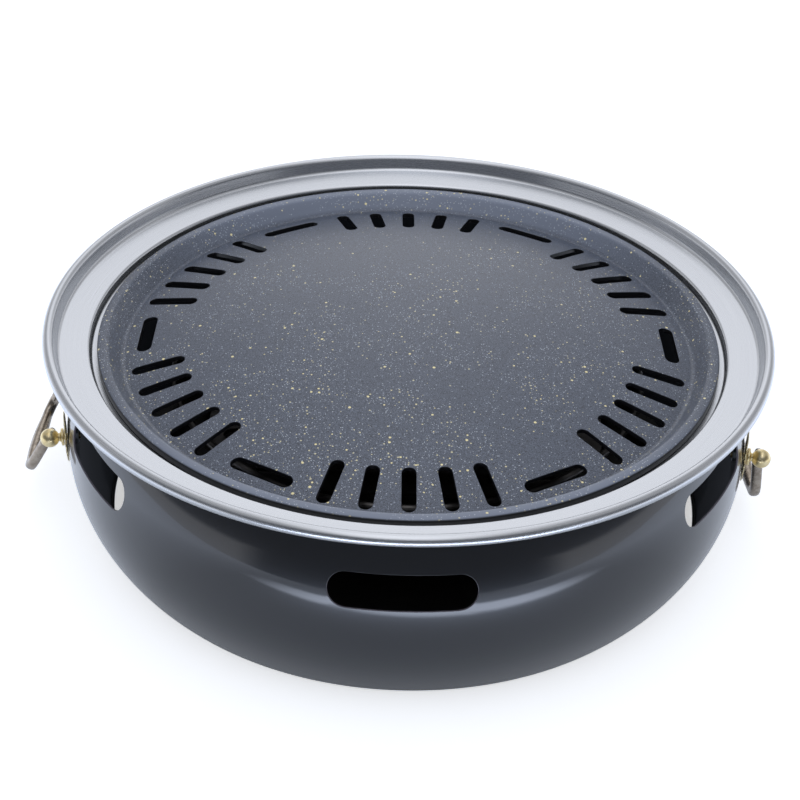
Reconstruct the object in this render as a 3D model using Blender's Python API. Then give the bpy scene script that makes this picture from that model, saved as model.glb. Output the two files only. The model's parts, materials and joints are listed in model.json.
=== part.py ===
"""Round table grill: a barrel shell with vents, a drip ring, a slotted plate and a charcoal pan.

Metres, +Z up. The origin is on the grill's axis at the level it stands on, and the two bails hang
at the ends of the X axis. Each size below is set by itself; all places are worked out from them.
"""
import math

import bmesh
import bpy
from mathutils import Matrix, Vector

# Facets and gaps
TURN_STEPS = 48             # facets round each large turned piece
SMALL_STEPS = 14            # facets round posts, feet, screws, washers and holes
HEX_STEPS = 6               # a nut's sides
SHELL_STEPS = 8             # points up the shell's curved wall
BEAD_STEPS = 9              # points round a rolled bead
EDGE_STEPS = 2              # points round a small bend
DOME_STEPS = 4
MERGE = 0.000001
SEAT_GAP = 0.0003           # between a piece and what it rests on
THREAD_GAP = 0.0002         # round a shank in its nut or bore
WELD_GAP = 0.0004           # between a welded clip and the curved wall
OVERRUN = 0.004             # how far a cut runs past what it cuts

# Grill plate, a pressed sheet: a low dome, a fold, a slope and a flat rim
PLATE_RADIUS = 0.1390
PLATE_RIM_DEPTH = 0.0034
PLATE_RIM_WIDTH = 0.0045    # flat land on top of the rim
PLATE_SLOPE_RUN = 0.0060    # how far in the slope between rim and fold runs
PLATE_SLOPE_DROP = 0.0078   # and how far down
PLATE_CROWN = 0.0135        # rise of the middle over the fold
PLATE_SHEET = 0.0022
PLATE_TURN_DEG = 0.75       # how the loose plate happens to lie
PLATE_SIDE_GAP = 0.0031     # to the well that it lies in
SLOT_GROUPS = 6
SLOTS_IN_GROUP = 5
SLOT_STEP_DEG = 8.0
SLOT_WIDTH = 0.0058
SLOT_LENGTH = 0.0234
SLOT_MARGIN = 0.0035        # from a slot's outer end to the fold
CROSS_SLOT_LENGTH = 0.0290
CROSS_SLOT_WIDTH = 0.0064
CROSS_SLOT_MARGIN = 0.0069  # from its outer edge to the fold

# Body shell: a wall curved like a barrel's, a straight neck and a flat hem to stand on
BELLY_HEIGHT = 0.0438       # where it is widest
BELLY_SWELL = 0.0112        # how far the belly stands out past the neck
BULGE_RADIUS = 0.0681       # curve of the outer face, seen from the side
SHELL_WALL = 0.0009
NECK_LENGTH = 0.0070
HEM_WIDTH = 0.0018
VENT_ANGLES_DEG = (30.0, 150.0, 210.0, 270.0, 330.0)     # sixths of a turn, none at the back
VENT_LENGTH = 0.0585
VENT_OPENING = 0.0145
VENT_RISE = 0.0196          # its middle over the belly

# Drip ring
RING_SHEET = 0.0009
RING_FLOOR_WIDTH = 0.0115   # from the neck to the crease where the outer wall turns up
RING_FLOOR_RISE = 0.0020    # how far the floor climbs to the crease
RING_WALL_RUN = 0.0041      # from the crease out to the bead's middle
BEAD_RISE = 0.0043          # from the crease up to the bead's middle
BEAD_RADIUS = 0.0025
WELL_CLEARANCE = 0.0005     # to the shell's neck
WELL_EDGE = 0.0015          # rounding between floor and well
PLATE_DROP = 0.0006         # from the ring's floor at the well down to the plate's rim

# Charcoal pan, its feet and its grate
PAN_SHEET = 0.0009
PAN_FLOOR_HEIGHT = 0.0225   # top face
PAN_WALL_LEAN_DEG = 21.0
PAN_CORNER = 0.0080         # bend between floor and wall
PAN_RIM_RADIUS = 0.1060     # middle of its rolled rim
PAN_DEPTH = 0.0463          # floor to the middle of the rolled rim
PAN_RIM_BEAD = 0.0016
PAN_HOLE_COUNT = 12
PAN_HOLE_RADIUS = 0.0030
PAN_HOLE_CIRCLE = 0.0480
FOOT_COUNT = 4
FOOT_RADIUS = 0.0055
FOOT_FIRST_DEG = 45.0
FOOT_MARGIN = 0.0064        # from a foot to the pan's bend
BORE_SPARE = 0.0025         # bore past the screw's tip
SCREW_SHANK = 0.0015        # radius
SCREW_HEAD = 0.0035         # radius
SCREW_HEAD_HEIGHT = 0.0018
SCREW_LENGTH = 0.0110
GRATE_THICKNESS = 0.0020
GRATE_RISE = 0.0135         # pan's floor to the grate's underside
GRATE_RIM = 0.0060
GRATE_SLOT = 0.0090
GRATE_BAR = 0.0060

# Base tray and the clips that hold it
TRAY_SHEET = 0.0008
TRAY_SIDE_GAP = 0.0068      # from its rim to the shell's hem
TRAY_RIM_WIDTH = 0.0095
TRAY_WALL_RUN = 0.0045
TRAY_DEPTH = 0.0130
CLIP_ANGLES_DEG = (60.0, 120.0, 240.0, 300.0)
CLIP_WIDTH = 0.0130
CLIP_SHEET = 0.0012
CLIP_REACH = 0.0050         # overlap under the tray's rim
CLIP_LEG_RISE = 0.0100      # how high its leg follows the wall

# Drop handles: a bail between two posts on each side
PIVOT_RISE = 0.0018         # over the belly
BALL_RADIUS = 0.0043
POST_HALF_SPACING = 0.0326
POST_NECK = 0.0019          # radius
POST_NECK_LENGTH = 0.00114
POST_COLLAR = 0.0040        # radius
POST_COLLAR_THICKNESS = 0.0012
POST_SHANK = 0.0015         # radius
POST_HOLE_GAP = 0.0003
ROSETTE_THICKNESS = 0.0010
ROSETTE_HALF_HEIGHT = 0.0135
ROSETTE_HALF_WIDTH = 0.0098
ROSETTE_PETALS = 8
ROSETTE_POINTS = 48
ROSETTE_TIP_POWER = 8       # how narrow the drawn-out tips are
WASHER_RADIUS = 0.0040
WASHER_GAP = 0.0006         # flat washer against the curved wall
WASHER_THICKNESS = 0.0008
NUT_RADIUS = 0.0031         # across corners, halved
NUT_THICKNESS = 0.0024
SHANK_OVERHANG = 0.0008     # shank past its nut
PIN_RADIUS = 0.0013
PIN_GAP = 0.0003
PIN_PAST_CENTRE = 0.0005
HOLE_PAST_CENTRE = 0.0010
LEG_RADIUS = 0.0025
LEG_GAP = 0.0004            # between a leg and the ball beside it
ELBOW_RADIUS = 0.0024
ELBOW_THICKNESS = 0.0018    # radius of the bail where its elbow ends
ELBOW_TAPER = 0.0030        # length over which the leg reaches its full thickness
CORNER_RADIUS = 0.0080
GRIP_RADIUS = 0.0032
GRIP_DROP = 0.0280          # pivot to the grip's middle line
GRIP_BOW = 0.0008
LEFT_SWING_DEG = 29.5       # the left bail is swung out
RIGHT_SWING_DEG = -5.0      # the right one almost hangs straight down
BAIL_STEPS = 5

# Shares of the sizes that they follow
ROSETTE_NOTCH_SHARE = 0.16  # depth of a notch between petals, of the plate's radius there
ROSETTE_POINT_SHARE = 0.18  # how much longer the top and bottom petals are drawn out

# Radii worked out from the sizes above
NECK_RADIUS = PLATE_RADIUS + PLATE_SIDE_GAP + RING_SHEET + WELL_CLEARANCE + SHELL_WALL
BELLY_RADIUS = NECK_RADIUS + BELLY_SWELL
BULGE_CENTRE = BELLY_RADIUS - BULGE_RADIUS
FOOT_INSET = BULGE_RADIUS - math.sqrt(BULGE_RADIUS ** 2 - BELLY_HEIGHT ** 2)
RING_CREASE_RADIUS = NECK_RADIUS + RING_FLOOR_WIDTH
BEAD_CENTRE_RADIUS = RING_CREASE_RADIUS + RING_WALL_RUN
PLATE_FOLD_RADIUS = PLATE_RADIUS - PLATE_RIM_WIDTH - PLATE_SLOPE_RUN
SLOT_OUTER_RADIUS = PLATE_FOLD_RADIUS - SLOT_MARGIN
CROSS_SLOT_RADIUS = PLATE_FOLD_RADIUS - CROSS_SLOT_MARGIN - CROSS_SLOT_WIDTH / 2.0
TRAY_RIM_RADIUS = BELLY_RADIUS - FOOT_INSET - HEM_WIDTH - TRAY_SIDE_GAP
TRAY_WALL_TOP_RADIUS = TRAY_RIM_RADIUS - TRAY_RIM_WIDTH
TRAY_FLOOR_RADIUS = TRAY_WALL_TOP_RADIUS - TRAY_WALL_RUN

# Heights worked out from the sizes above
SHOULDER_HEIGHT = BELLY_HEIGHT + math.sqrt(BULGE_RADIUS ** 2 - (NECK_RADIUS - BULGE_CENTRE) ** 2)
NECK_TOP = SHOULDER_HEIGHT + NECK_LENGTH
RING_FLOOR = NECK_TOP + SEAT_GAP + RING_SHEET
RING_CREASE_HEIGHT = RING_FLOOR + RING_FLOOR_RISE
BEAD_HEIGHT = RING_CREASE_HEIGHT + BEAD_RISE
PLATE_RIM_TOP = RING_FLOOR - PLATE_DROP
PLATE_FOLD_HEIGHT = PLATE_RIM_TOP - PLATE_SLOPE_DROP
VENT_HEIGHT = BELLY_HEIGHT + VENT_RISE
PAN_RIM_HEIGHT = PAN_FLOOR_HEIGHT + PAN_DEPTH
GRATE_HEIGHT = PAN_FLOOR_HEIGHT + GRATE_RISE
PIVOT_HEIGHT = BELLY_HEIGHT + PIVOT_RISE

# Ball's middle to the shell's outer face, with the rosette, collar and neck between them
BALL_SEAT = math.sqrt(BALL_RADIUS ** 2 - POST_NECK ** 2)
COLLAR_SEAT = SEAT_GAP + ROSETTE_THICKNESS + SEAT_GAP
BALL_STANDOFF = COLLAR_SEAT + POST_COLLAR_THICKNESS + POST_NECK_LENGTH + BALL_SEAT


def clear_scene():
    for old in list(bpy.data.objects):
        bpy.data.objects.remove(old, do_unlink=True)


def make_material(name, colour, roughness, metallic):
    material = bpy.data.materials.new(name)
    material.use_nodes = True
    shader = material.node_tree.nodes["Principled BSDF"]
    shader.inputs["Base Color"].default_value = (*colour, 1.0)
    shader.inputs["Roughness"].default_value = roughness
    shader.inputs["Metallic"].default_value = metallic
    material.diffuse_color = (*colour, 1.0)
    return material


def add_object(name, data, material):
    piece = bpy.data.objects.new(name, data)
    bpy.context.scene.collection.objects.link(piece)
    if material:
        piece.data.materials.append(material)
    return piece


def finish_mesh(name, bm):
    """Close a bmesh into a mesh with its faces pointing out."""
    bmesh.ops.remove_doubles(bm, verts=bm.verts, dist=MERGE)
    bmesh.ops.recalc_face_normals(bm, faces=bm.faces)
    mesh = bpy.data.meshes.new(name)
    bm.to_mesh(mesh)
    bm.free()
    mesh.shade_smooth()
    mesh.set_sharp_from_angle(angle=math.radians(30.0))
    return mesh


def offset_path(path, distance):
    """The path moved to the left of its direction, with mitred corners; the axis keeps its points."""
    directions = [(Vector(b) - Vector(a)).normalized() for a, b in zip(path, path[1:])]
    moved = []
    for index, point in enumerate(path):
        before = directions[max(index - 1, 0)]
        after = directions[min(index, len(directions) - 1)]
        left_before = Vector((-before.y, before.x))
        left_after = Vector((-after.y, after.x))
        mitre = (left_before + left_after).normalized()
        place = Vector(point) + mitre * (distance / mitre.dot(left_after))
        moved.append((place.x if point[0] > 0.0 else 0.0, place.y))
    return moved


def arc(centre, radius, start_deg, end_deg, steps):
    angles = [math.radians(start_deg + (end_deg - start_deg) * i / steps) for i in range(steps + 1)]
    return [(centre[0] + radius * math.cos(a), centre[1] + radius * math.sin(a)) for a in angles]


def meet_circle(point, direction, centre, radius):
    """Where a line from the point first meets the circle, and the angle there in degrees."""
    to_centre = Vector(centre) - Vector(point)
    along = to_centre.dot(direction)
    aside = to_centre.length_squared - along * along
    hit = Vector(point) + direction * (along - math.sqrt(radius * radius - aside))
    return math.degrees(math.atan2(hit.y - centre[1], hit.x - centre[0]))


def beaded_outline(path, sheet, lean_deg, centre, bead):
    """A sheet's outline whose last stretch leans outward into a solid rolled bead.

    The path is the sheet's upper face; its wall rises from the path's last point.
    """
    direction = Vector((math.sin(math.radians(lean_deg)), math.cos(math.radians(lean_deg))))
    wall_end = Vector(path[-1]) + direction * bead
    under = offset_path(path + [tuple(wall_end)], -sheet)[:-1]
    start = meet_circle(path[-1], direction, centre, bead)
    end = meet_circle(under[-1], direction, centre, bead)
    return path + arc(centre, bead, start, start - (start - end) % 360.0, BEAD_STEPS) + under[::-1]


def turned(name, outline, steps):
    """A closed mesh turned round Z. An outline that is solid starts and ends on the axis."""
    bm = bmesh.new()
    verts = [bm.verts.new((radius, 0.0, height)) for radius, height in outline]
    edges = [bm.edges.new(pair) for pair in zip(verts, verts[1:])]
    if outline[0][0] > 0.0:
        edges.append(bm.edges.new((verts[-1], verts[0])))
    half_facet = Matrix.Rotation(math.pi / steps, 3, "Z")
    bmesh.ops.rotate(bm, verts=bm.verts, cent=(0.0, 0.0, 0.0), matrix=half_facet)
    bmesh.ops.spin(bm, geom=verts + edges, cent=(0.0, 0.0, 0.0), axis=(0.0, 0.0, 1.0),
                   angle=2.0 * math.pi, steps=steps, use_merge=True)
    return finish_mesh(name, bm)


def add_prism(bm, outline, low, high, matrix):
    """Add a closed prism of a flat outline, from low to high along its own Z."""
    verts = [bm.verts.new((x, y, low)) for x, y in outline]
    face = bm.faces.new(verts)
    extruded = bmesh.ops.extrude_face_region(bm, geom=[face])["geom"]
    top = [item for item in extruded if isinstance(item, bmesh.types.BMVert)]
    bmesh.ops.translate(bm, verts=top, vec=(0.0, 0.0, high - low))
    bmesh.ops.transform(bm, matrix=matrix, verts=verts + top)


def circle_outline(radius, steps):
    angles = [2.0 * math.pi * (i + 0.5) / steps for i in range(steps)]
    return [(radius * math.cos(a), radius * math.sin(a)) for a in angles]


def stadium_outline(length, width, steps):
    """A slot's outline with full round ends, long along X."""
    half = (length - width) / 2.0
    outline = []
    for side in (1.0, -1.0):
        for i in range(steps + 1):
            angle = math.pi * (i / steps - 0.5)
            x = side * (half + math.cos(angle) * width / 2.0)
            outline.append((x, side * math.sin(angle) * width / 2.0))
    return outline


def spun(angle_deg):
    return Matrix.Rotation(math.radians(angle_deg), 4, "Z")


def facing(angle_deg):
    """Turns a piece's own Z outward at that angle round the grill, with its X along the wall."""
    return spun(angle_deg) @ Matrix(((0, 0, 1, 0), (1, 0, 0, 0), (0, 1, 0, 0), (0, 0, 0, 1)))


def add_cutter(name, bm):
    """A guide that only cuts: it is drawn as wire and isn't a piece of the grill."""
    cutter = add_object(name, finish_mesh(name, bm), None)
    cutter.hide_render = True
    cutter.display_type = "WIRE"
    return cutter


def cut_with(piece, cutter):
    cut = piece.modifiers.new(cutter.name, "BOOLEAN")
    cut.object = cutter
    cut.operation = "DIFFERENCE"
    cut.solver = "EXACT"


def post_places():
    """Name, angle round the grill and ball centre of each of the four posts."""
    reach = BELLY_RADIUS + BALL_STANDOFF
    spread = math.degrees(math.asin(POST_HALF_SPACING / reach))
    places = []
    for side, middle in (("left", 180.0), ("right", 0.0)):
        for end, sign in (("front", -1.0), ("back", 1.0)):
            angle = middle + (spread if sign * math.cos(math.radians(middle)) > 0.0 else -spread)
            centre = spun(angle) @ Vector((reach, 0.0, PIVOT_HEIGHT))
            places.append((side + "_" + end, angle, centre))
    return places


def pivot_reach():
    """Distance of each bail's hinge axis from the grill's middle plane."""
    return math.sqrt((BELLY_RADIUS + BALL_STANDOFF) ** 2 - POST_HALF_SPACING ** 2)


def make_shell(material):
    centre = (BULGE_CENTRE, BELLY_HEIGHT)
    low = -math.degrees(math.asin(BELLY_HEIGHT / BULGE_RADIUS))
    high = math.degrees(math.acos((NECK_RADIUS - BULGE_CENTRE) / BULGE_RADIUS))
    hem = (BELLY_RADIUS - FOOT_INSET - HEM_WIDTH, 0.0)
    outer = [hem] + arc(centre, BULGE_RADIUS, low, high, SHELL_STEPS) + [(NECK_RADIUS, NECK_TOP)]
    outline = outer + offset_path(outer, SHELL_WALL)[::-1]
    shell = add_object("body_shell", turned("body_shell", outline, TURN_STEPS), material)
    bm = bmesh.new()
    vent = stadium_outline(VENT_LENGTH, VENT_OPENING, SMALL_STEPS // 2)
    inside = NECK_RADIUS - OVERRUN - OVERRUN
    lift = Matrix.Translation((0.0, 0.0, VENT_HEIGHT))
    for angle in VENT_ANGLES_DEG:
        add_prism(bm, vent, inside, BELLY_RADIUS + OVERRUN, lift @ facing(angle))
    cut_with(shell, add_cutter("vent_cutter", bm))
    return shell


def plate_sections():
    """The plate's upper line from its middle to the rim, and the line under it."""
    fold = (PLATE_FOLD_RADIUS, PLATE_FOLD_HEIGHT)
    crown_radius = (PLATE_FOLD_RADIUS ** 2 + PLATE_CROWN ** 2) / (2.0 * PLATE_CROWN)
    crown_centre = (0.0, PLATE_FOLD_HEIGHT + PLATE_CROWN - crown_radius)
    reach = math.degrees(math.asin(PLATE_FOLD_RADIUS / crown_radius))
    dome = arc(crown_centre, crown_radius, 90.0, 90.0 - reach, DOME_STEPS)[:-1]
    dome[0] = (0.0, dome[0][1])
    land = (PLATE_RADIUS - PLATE_RIM_WIDTH, PLATE_RIM_TOP)
    upper = dome + [fold, land]
    under = offset_path(upper, -PLATE_SHEET)
    return upper, under


def plate_seat_radius():
    """Inner radius of the flat land under the plate's rim."""
    _, under = plate_sections()
    (low_radius, low), (high_radius, high) = under[-2:]
    share = (PLATE_RIM_TOP - PLATE_RIM_DEPTH - low) / (high - low)
    return low_radius + (high_radius - low_radius) * share


def make_plate(material):
    upper, under = plate_sections()
    bottom = PLATE_RIM_TOP - PLATE_RIM_DEPTH
    rim = [(PLATE_RADIUS, PLATE_RIM_TOP), (PLATE_RADIUS, bottom), (plate_seat_radius(), bottom)]
    outline = upper + rim + under[-2::-1]
    plate = add_object("grill_plate", turned("grill_plate", outline, TURN_STEPS), material)
    bm = bmesh.new()
    low = PLATE_FOLD_HEIGHT - PLATE_SHEET - OVERRUN
    high = PLATE_FOLD_HEIGHT + PLATE_CROWN + OVERRUN
    radial = stadium_outline(SLOT_LENGTH, SLOT_WIDTH, SMALL_STEPS // 3)
    cross = stadium_outline(CROSS_SLOT_LENGTH, CROSS_SLOT_WIDTH, SMALL_STEPS // 3)
    middle = SLOT_OUTER_RADIUS - SLOT_LENGTH / 2.0
    pitch = 360.0 / SLOT_GROUPS
    for group in range(SLOT_GROUPS):
        for index in range(SLOTS_IN_GROUP):
            step = (index - (SLOTS_IN_GROUP - 1) / 2.0) * SLOT_STEP_DEG
            place = spun(pitch * (group + 0.5) + step + PLATE_TURN_DEG)
            add_prism(bm, radial, low, high, place @ Matrix.Translation((middle, 0.0, 0.0)))
        place = spun(pitch * group + PLATE_TURN_DEG)
        along = Matrix.Translation((CROSS_SLOT_RADIUS, 0.0, 0.0)) @ spun(90.0)
        add_prism(bm, cross, low, high, place @ along)
    cut_with(plate, add_cutter("slot_cutter", bm))


def ring_wall_lean():
    """Lean in degrees of the ring's wall, whose inner face runs from the crease to the bead's inside."""
    inset = BEAD_RADIUS - RING_SHEET / 2.0
    to_middle = math.atan2(RING_WALL_RUN, BEAD_RISE)
    return math.degrees(to_middle - math.asin(inset / math.hypot(RING_WALL_RUN, BEAD_RISE)))


def make_ring(material):
    well = NECK_RADIUS - SHELL_WALL - WELL_CLEARANCE - RING_SHEET
    lip_top = PLATE_RIM_TOP - PLATE_RIM_DEPTH - SEAT_GAP
    edge_centre = (well + WELL_EDGE, RING_FLOOR - WELL_EDGE)
    path = [(plate_seat_radius() + SEAT_GAP, lip_top), (well, lip_top)]
    path += arc(edge_centre, WELL_EDGE, 180.0, 90.0, EDGE_STEPS)
    path.append((RING_CREASE_RADIUS, RING_CREASE_HEIGHT))
    centre = (BEAD_CENTRE_RADIUS, BEAD_HEIGHT)
    outline = beaded_outline(path, RING_SHEET, ring_wall_lean(), centre, BEAD_RADIUS)
    add_object("drip_ring", turned("drip_ring", outline, TURN_STEPS), material)


def pan_radius(height):
    """Inner radius of the pan's leaning wall at a height."""
    drop = PAN_RIM_HEIGHT - height
    return PAN_RIM_RADIUS - PAN_RIM_BEAD / 2.0 - drop * math.tan(math.radians(PAN_WALL_LEAN_DEG))


def pan_bend():
    """Centre of the bend between the pan's flat floor and its wall, on the inner face."""
    lean = math.radians(PAN_WALL_LEAN_DEG)
    bend_top = PAN_FLOOR_HEIGHT + PAN_CORNER * (1.0 - math.sin(lean))
    return pan_radius(bend_top) - PAN_CORNER * math.cos(lean), PAN_FLOOR_HEIGHT + PAN_CORNER


def foot_places():
    step = 360.0 / FOOT_COUNT
    circle = pan_bend()[0] - FOOT_MARGIN - FOOT_RADIUS
    angles = [FOOT_FIRST_DEG + step * index for index in range(FOOT_COUNT)]
    return [spun(angle) @ Vector((circle, 0.0, 0.0)) for angle in angles]


def make_pan(material):
    path = [(0.0, PAN_FLOOR_HEIGHT)]
    path += arc(pan_bend(), PAN_CORNER, -90.0, -PAN_WALL_LEAN_DEG, EDGE_STEPS)
    centre = (PAN_RIM_RADIUS, PAN_RIM_HEIGHT)
    outline = beaded_outline(path, PAN_SHEET, PAN_WALL_LEAN_DEG, centre, PAN_RIM_BEAD)
    pan = add_object("charcoal_pan", turned("charcoal_pan", outline, TURN_STEPS), material)
    bm = bmesh.new()
    low = PAN_FLOOR_HEIGHT - PAN_SHEET - OVERRUN
    high = PAN_FLOOR_HEIGHT + OVERRUN
    air = circle_outline(PAN_HOLE_RADIUS, SMALL_STEPS // 2)
    for index in range(PAN_HOLE_COUNT):
        place = spun(360.0 / PAN_HOLE_COUNT * index) @ Matrix.Translation((PAN_HOLE_CIRCLE, 0.0, 0.0))
        add_prism(bm, air, low, high, place)
    screw = circle_outline(SCREW_SHANK + SEAT_GAP, SMALL_STEPS)
    for place in foot_places():
        add_prism(bm, screw, low, high, Matrix.Translation(place))
    cut_with(pan, add_cutter("pan_hole_cutter", bm))


def make_feet(foot_material, screw_material):
    bottom = TRAY_SHEET + SEAT_GAP
    top = PAN_FLOOR_HEIGHT - PAN_SHEET - SEAT_GAP
    bore = SCREW_SHANK + THREAD_GAP
    seat = PAN_FLOOR_HEIGHT + SEAT_GAP
    end = seat - SCREW_LENGTH
    bore_end = end - BORE_SPARE
    foot = [(0.0, bottom), (FOOT_RADIUS, bottom), (FOOT_RADIUS, top)]
    foot += [(bore, top), (bore, bore_end), (0.0, bore_end)]
    shoulder = (SCREW_HEAD, seat + SCREW_HEAD_HEIGHT / 2.0)
    crown = (SCREW_HEAD / 2.0, seat + SCREW_HEAD_HEIGHT)
    screw = [(0.0, end), (SCREW_SHANK, end), (SCREW_SHANK, seat)]
    screw += [(SCREW_HEAD, seat), shoulder, crown, (0.0, crown[1])]
    foot_mesh = turned("pan_foot", foot, SMALL_STEPS)
    screw_mesh = turned("pan_foot_screw", screw, SMALL_STEPS)
    for index, place in enumerate(foot_places()):
        add_object(f"pan_foot_{index + 1}", foot_mesh, foot_material).location = place
        add_object(f"pan_foot_screw_{index + 1}", screw_mesh, screw_material).location = place


def make_grate(material):
    """A slotted disc whose lower edge rests on the pan's leaning wall."""
    radius = pan_radius(GRATE_HEIGHT) - SEAT_GAP
    bm = bmesh.new()
    outline = circle_outline(radius, TURN_STEPS)
    add_prism(bm, outline, GRATE_HEIGHT, GRATE_HEIGHT + GRATE_THICKNESS, Matrix.Identity(4))
    grate = add_object("charcoal_grate", finish_mesh("charcoal_grate", bm), material)
    bm = bmesh.new()
    inner = radius - GRATE_RIM
    pitch = GRATE_SLOT + GRATE_BAR
    beside = math.floor((inner - GRATE_SLOT) / pitch)
    for index in range(-beside, beside + 1):
        edge = abs(index) * pitch + GRATE_SLOT / 2.0
        slot = stadium_outline(2.0 * math.sqrt(inner ** 2 - edge ** 2), GRATE_SLOT, SMALL_STEPS // 3)
        place = Matrix.Translation((0.0, index * pitch, 0.0))
        add_prism(bm, slot, GRATE_HEIGHT - OVERRUN, GRATE_HEIGHT + GRATE_THICKNESS + OVERRUN, place)
    cut_with(grate, add_cutter("grate_slot_cutter", bm))


def make_tray(material):
    wall = (TRAY_FLOOR_RADIUS, TRAY_SHEET)
    rim = (TRAY_RIM_RADIUS, TRAY_DEPTH)
    upper = [(0.0, TRAY_SHEET), wall, (TRAY_WALL_TOP_RADIUS, TRAY_DEPTH), rim]
    outline = upper + offset_path(upper, -TRAY_SHEET)[::-1]
    add_object("base_tray", turned("base_tray", outline, TURN_STEPS), material)


def make_clips(material):
    """Bent tongues under the tray's rim, each welded to one flat facet of the shell's inner wall."""
    under = TRAY_DEPTH - TRAY_SHEET - SEAT_GAP - CLIP_SHEET
    curve = BULGE_RADIUS - SHELL_WALL - WELD_GAP
    to_flat = math.cos(math.pi / TURN_STEPS)
    path = [(TRAY_RIM_RADIUS - CLIP_REACH, under)]
    for step in range(EDGE_STEPS + 1):
        height = under + CLIP_LEG_RISE * step / EDGE_STEPS
        reach = BULGE_CENTRE + math.sqrt(curve ** 2 - (height - BELLY_HEIGHT) ** 2)
        path.append((reach * to_flat, height))
    outline = path + offset_path(path, CLIP_SHEET)[::-1]
    bm = bmesh.new()
    on_edge = Matrix.Rotation(math.pi / 2.0, 4, "X")
    add_prism(bm, outline, -CLIP_WIDTH / 2.0, CLIP_WIDTH / 2.0, on_edge)
    mesh = finish_mesh("tray_clip", bm)
    for index, angle in enumerate(CLIP_ANGLES_DEG):
        clip = add_object(f"tray_clip_{index + 1}", mesh, material)
        clip.rotation_euler.z = math.radians(angle)


def rosette_outline():
    """Eight petals round an ellipse, with the top and bottom ones drawn out to points."""
    outline = []
    for index in range(ROSETTE_POINTS):
        angle = 2.0 * math.pi * index / ROSETTE_POINTS
        petal = abs(math.cos(ROSETTE_PETALS / 2.0 * angle))
        notch = 1.0 - ROSETTE_NOTCH_SHARE * (1.0 - petal)
        drawn = 1.0 - ROSETTE_POINT_SHARE * (1.0 - abs(math.sin(angle)) ** ROSETTE_TIP_POWER)
        x = ROSETTE_HALF_WIDTH * math.cos(angle) * notch
        outline.append((x, ROSETTE_HALF_HEIGHT * math.sin(angle) * notch * drawn))
    return outline


def post_outline():
    """From the shank's inner end to the ball's pole; zero is the ball's middle."""
    collar_low = COLLAR_SEAT - BALL_STANDOFF
    collar_high = collar_low + POST_COLLAR_THICKNESS
    end = washer_face() - WASHER_THICKNESS - SEAT_GAP - NUT_THICKNESS - SHANK_OVERHANG
    start = -math.degrees(math.acos(POST_NECK / BALL_RADIUS))
    outline = [(0.0, end), (POST_SHANK, end), (POST_SHANK, collar_low), (POST_COLLAR, collar_low)]
    outline += [(POST_COLLAR, collar_high), (POST_NECK, collar_high)]
    ball = arc((0.0, 0.0), BALL_RADIUS, start, 90.0, SMALL_STEPS // 2)[:-1]
    return outline + ball + [(0.0, BALL_RADIUS)]


def washer_face():
    """The washer's outer face, measured from the ball's middle."""
    return -BALL_STANDOFF - SHELL_WALL - WASHER_GAP


def ring_outline(inner, outer, low, high):
    return [(inner, low), (outer, low), (outer, high), (inner, high)]


def make_posts(shell, brass, plate_brass, steel):
    """Ball posts through their rosettes and the shell, each with a washer and a nut inside."""
    holes = bmesh.new()
    hole = circle_outline(POST_SHANK + POST_HOLE_GAP, SMALL_STEPS)
    for _, angle, centre in post_places():
        place = Matrix.Translation(centre) @ facing(angle)
        add_prism(holes, hole, washer_face() - OVERRUN, OVERRUN - BALL_STANDOFF, place)
    hole_cutter = add_cutter("post_hole_cutter", holes)
    cut_with(shell, hole_cutter)
    pivots = bmesh.new()
    bore = circle_outline(PIN_RADIUS + PIN_GAP, SMALL_STEPS)
    reach = POST_HALF_SPACING + HOLE_PAST_CENTRE
    for side in (-1.0, 1.0):
        place = Matrix.Translation((side * pivot_reach(), 0.0, PIVOT_HEIGHT))
        add_prism(pivots, bore, -reach, reach, place @ Matrix.Rotation(-math.pi / 2.0, 4, "X"))
    pivot_cutter = add_cutter("pivot_cutter", pivots)
    bm = bmesh.new()
    back = SEAT_GAP - BALL_STANDOFF
    add_prism(bm, rosette_outline(), back, back + ROSETTE_THICKNESS, Matrix.Identity(4))
    rosette_mesh = finish_mesh("handle_plate", bm)
    post_mesh = turned("handle_post", post_outline(), SMALL_STEPS)
    washer_high = washer_face()
    washer_low = washer_high - WASHER_THICKNESS
    washer = ring_outline(POST_SHANK + POST_HOLE_GAP, WASHER_RADIUS, washer_low, washer_high)
    washer_mesh = turned("post_washer", washer, SMALL_STEPS)
    nut_high = washer_low - SEAT_GAP
    nut_bore = (POST_SHANK + THREAD_GAP) / math.cos(math.pi / HEX_STEPS)
    nut = ring_outline(nut_bore, NUT_RADIUS, nut_high - NUT_THICKNESS, nut_high)
    nut_mesh = turned("post_nut", nut, HEX_STEPS)
    kinds = (("handle_plate", rosette_mesh, plate_brass, hole_cutter),
             ("handle_post", post_mesh, brass, pivot_cutter),
             ("post_washer", washer_mesh, steel, None),
             ("post_nut", nut_mesh, steel, None))
    for place_name, angle, centre in post_places():
        for kind, mesh, material, cutter in kinds:
            piece = add_object(f"{kind}_{place_name}", mesh, material)
            piece.location = centre
            piece.rotation_euler = facing(angle).to_euler()
            if cutter:
                cut_with(piece, cutter)


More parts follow.
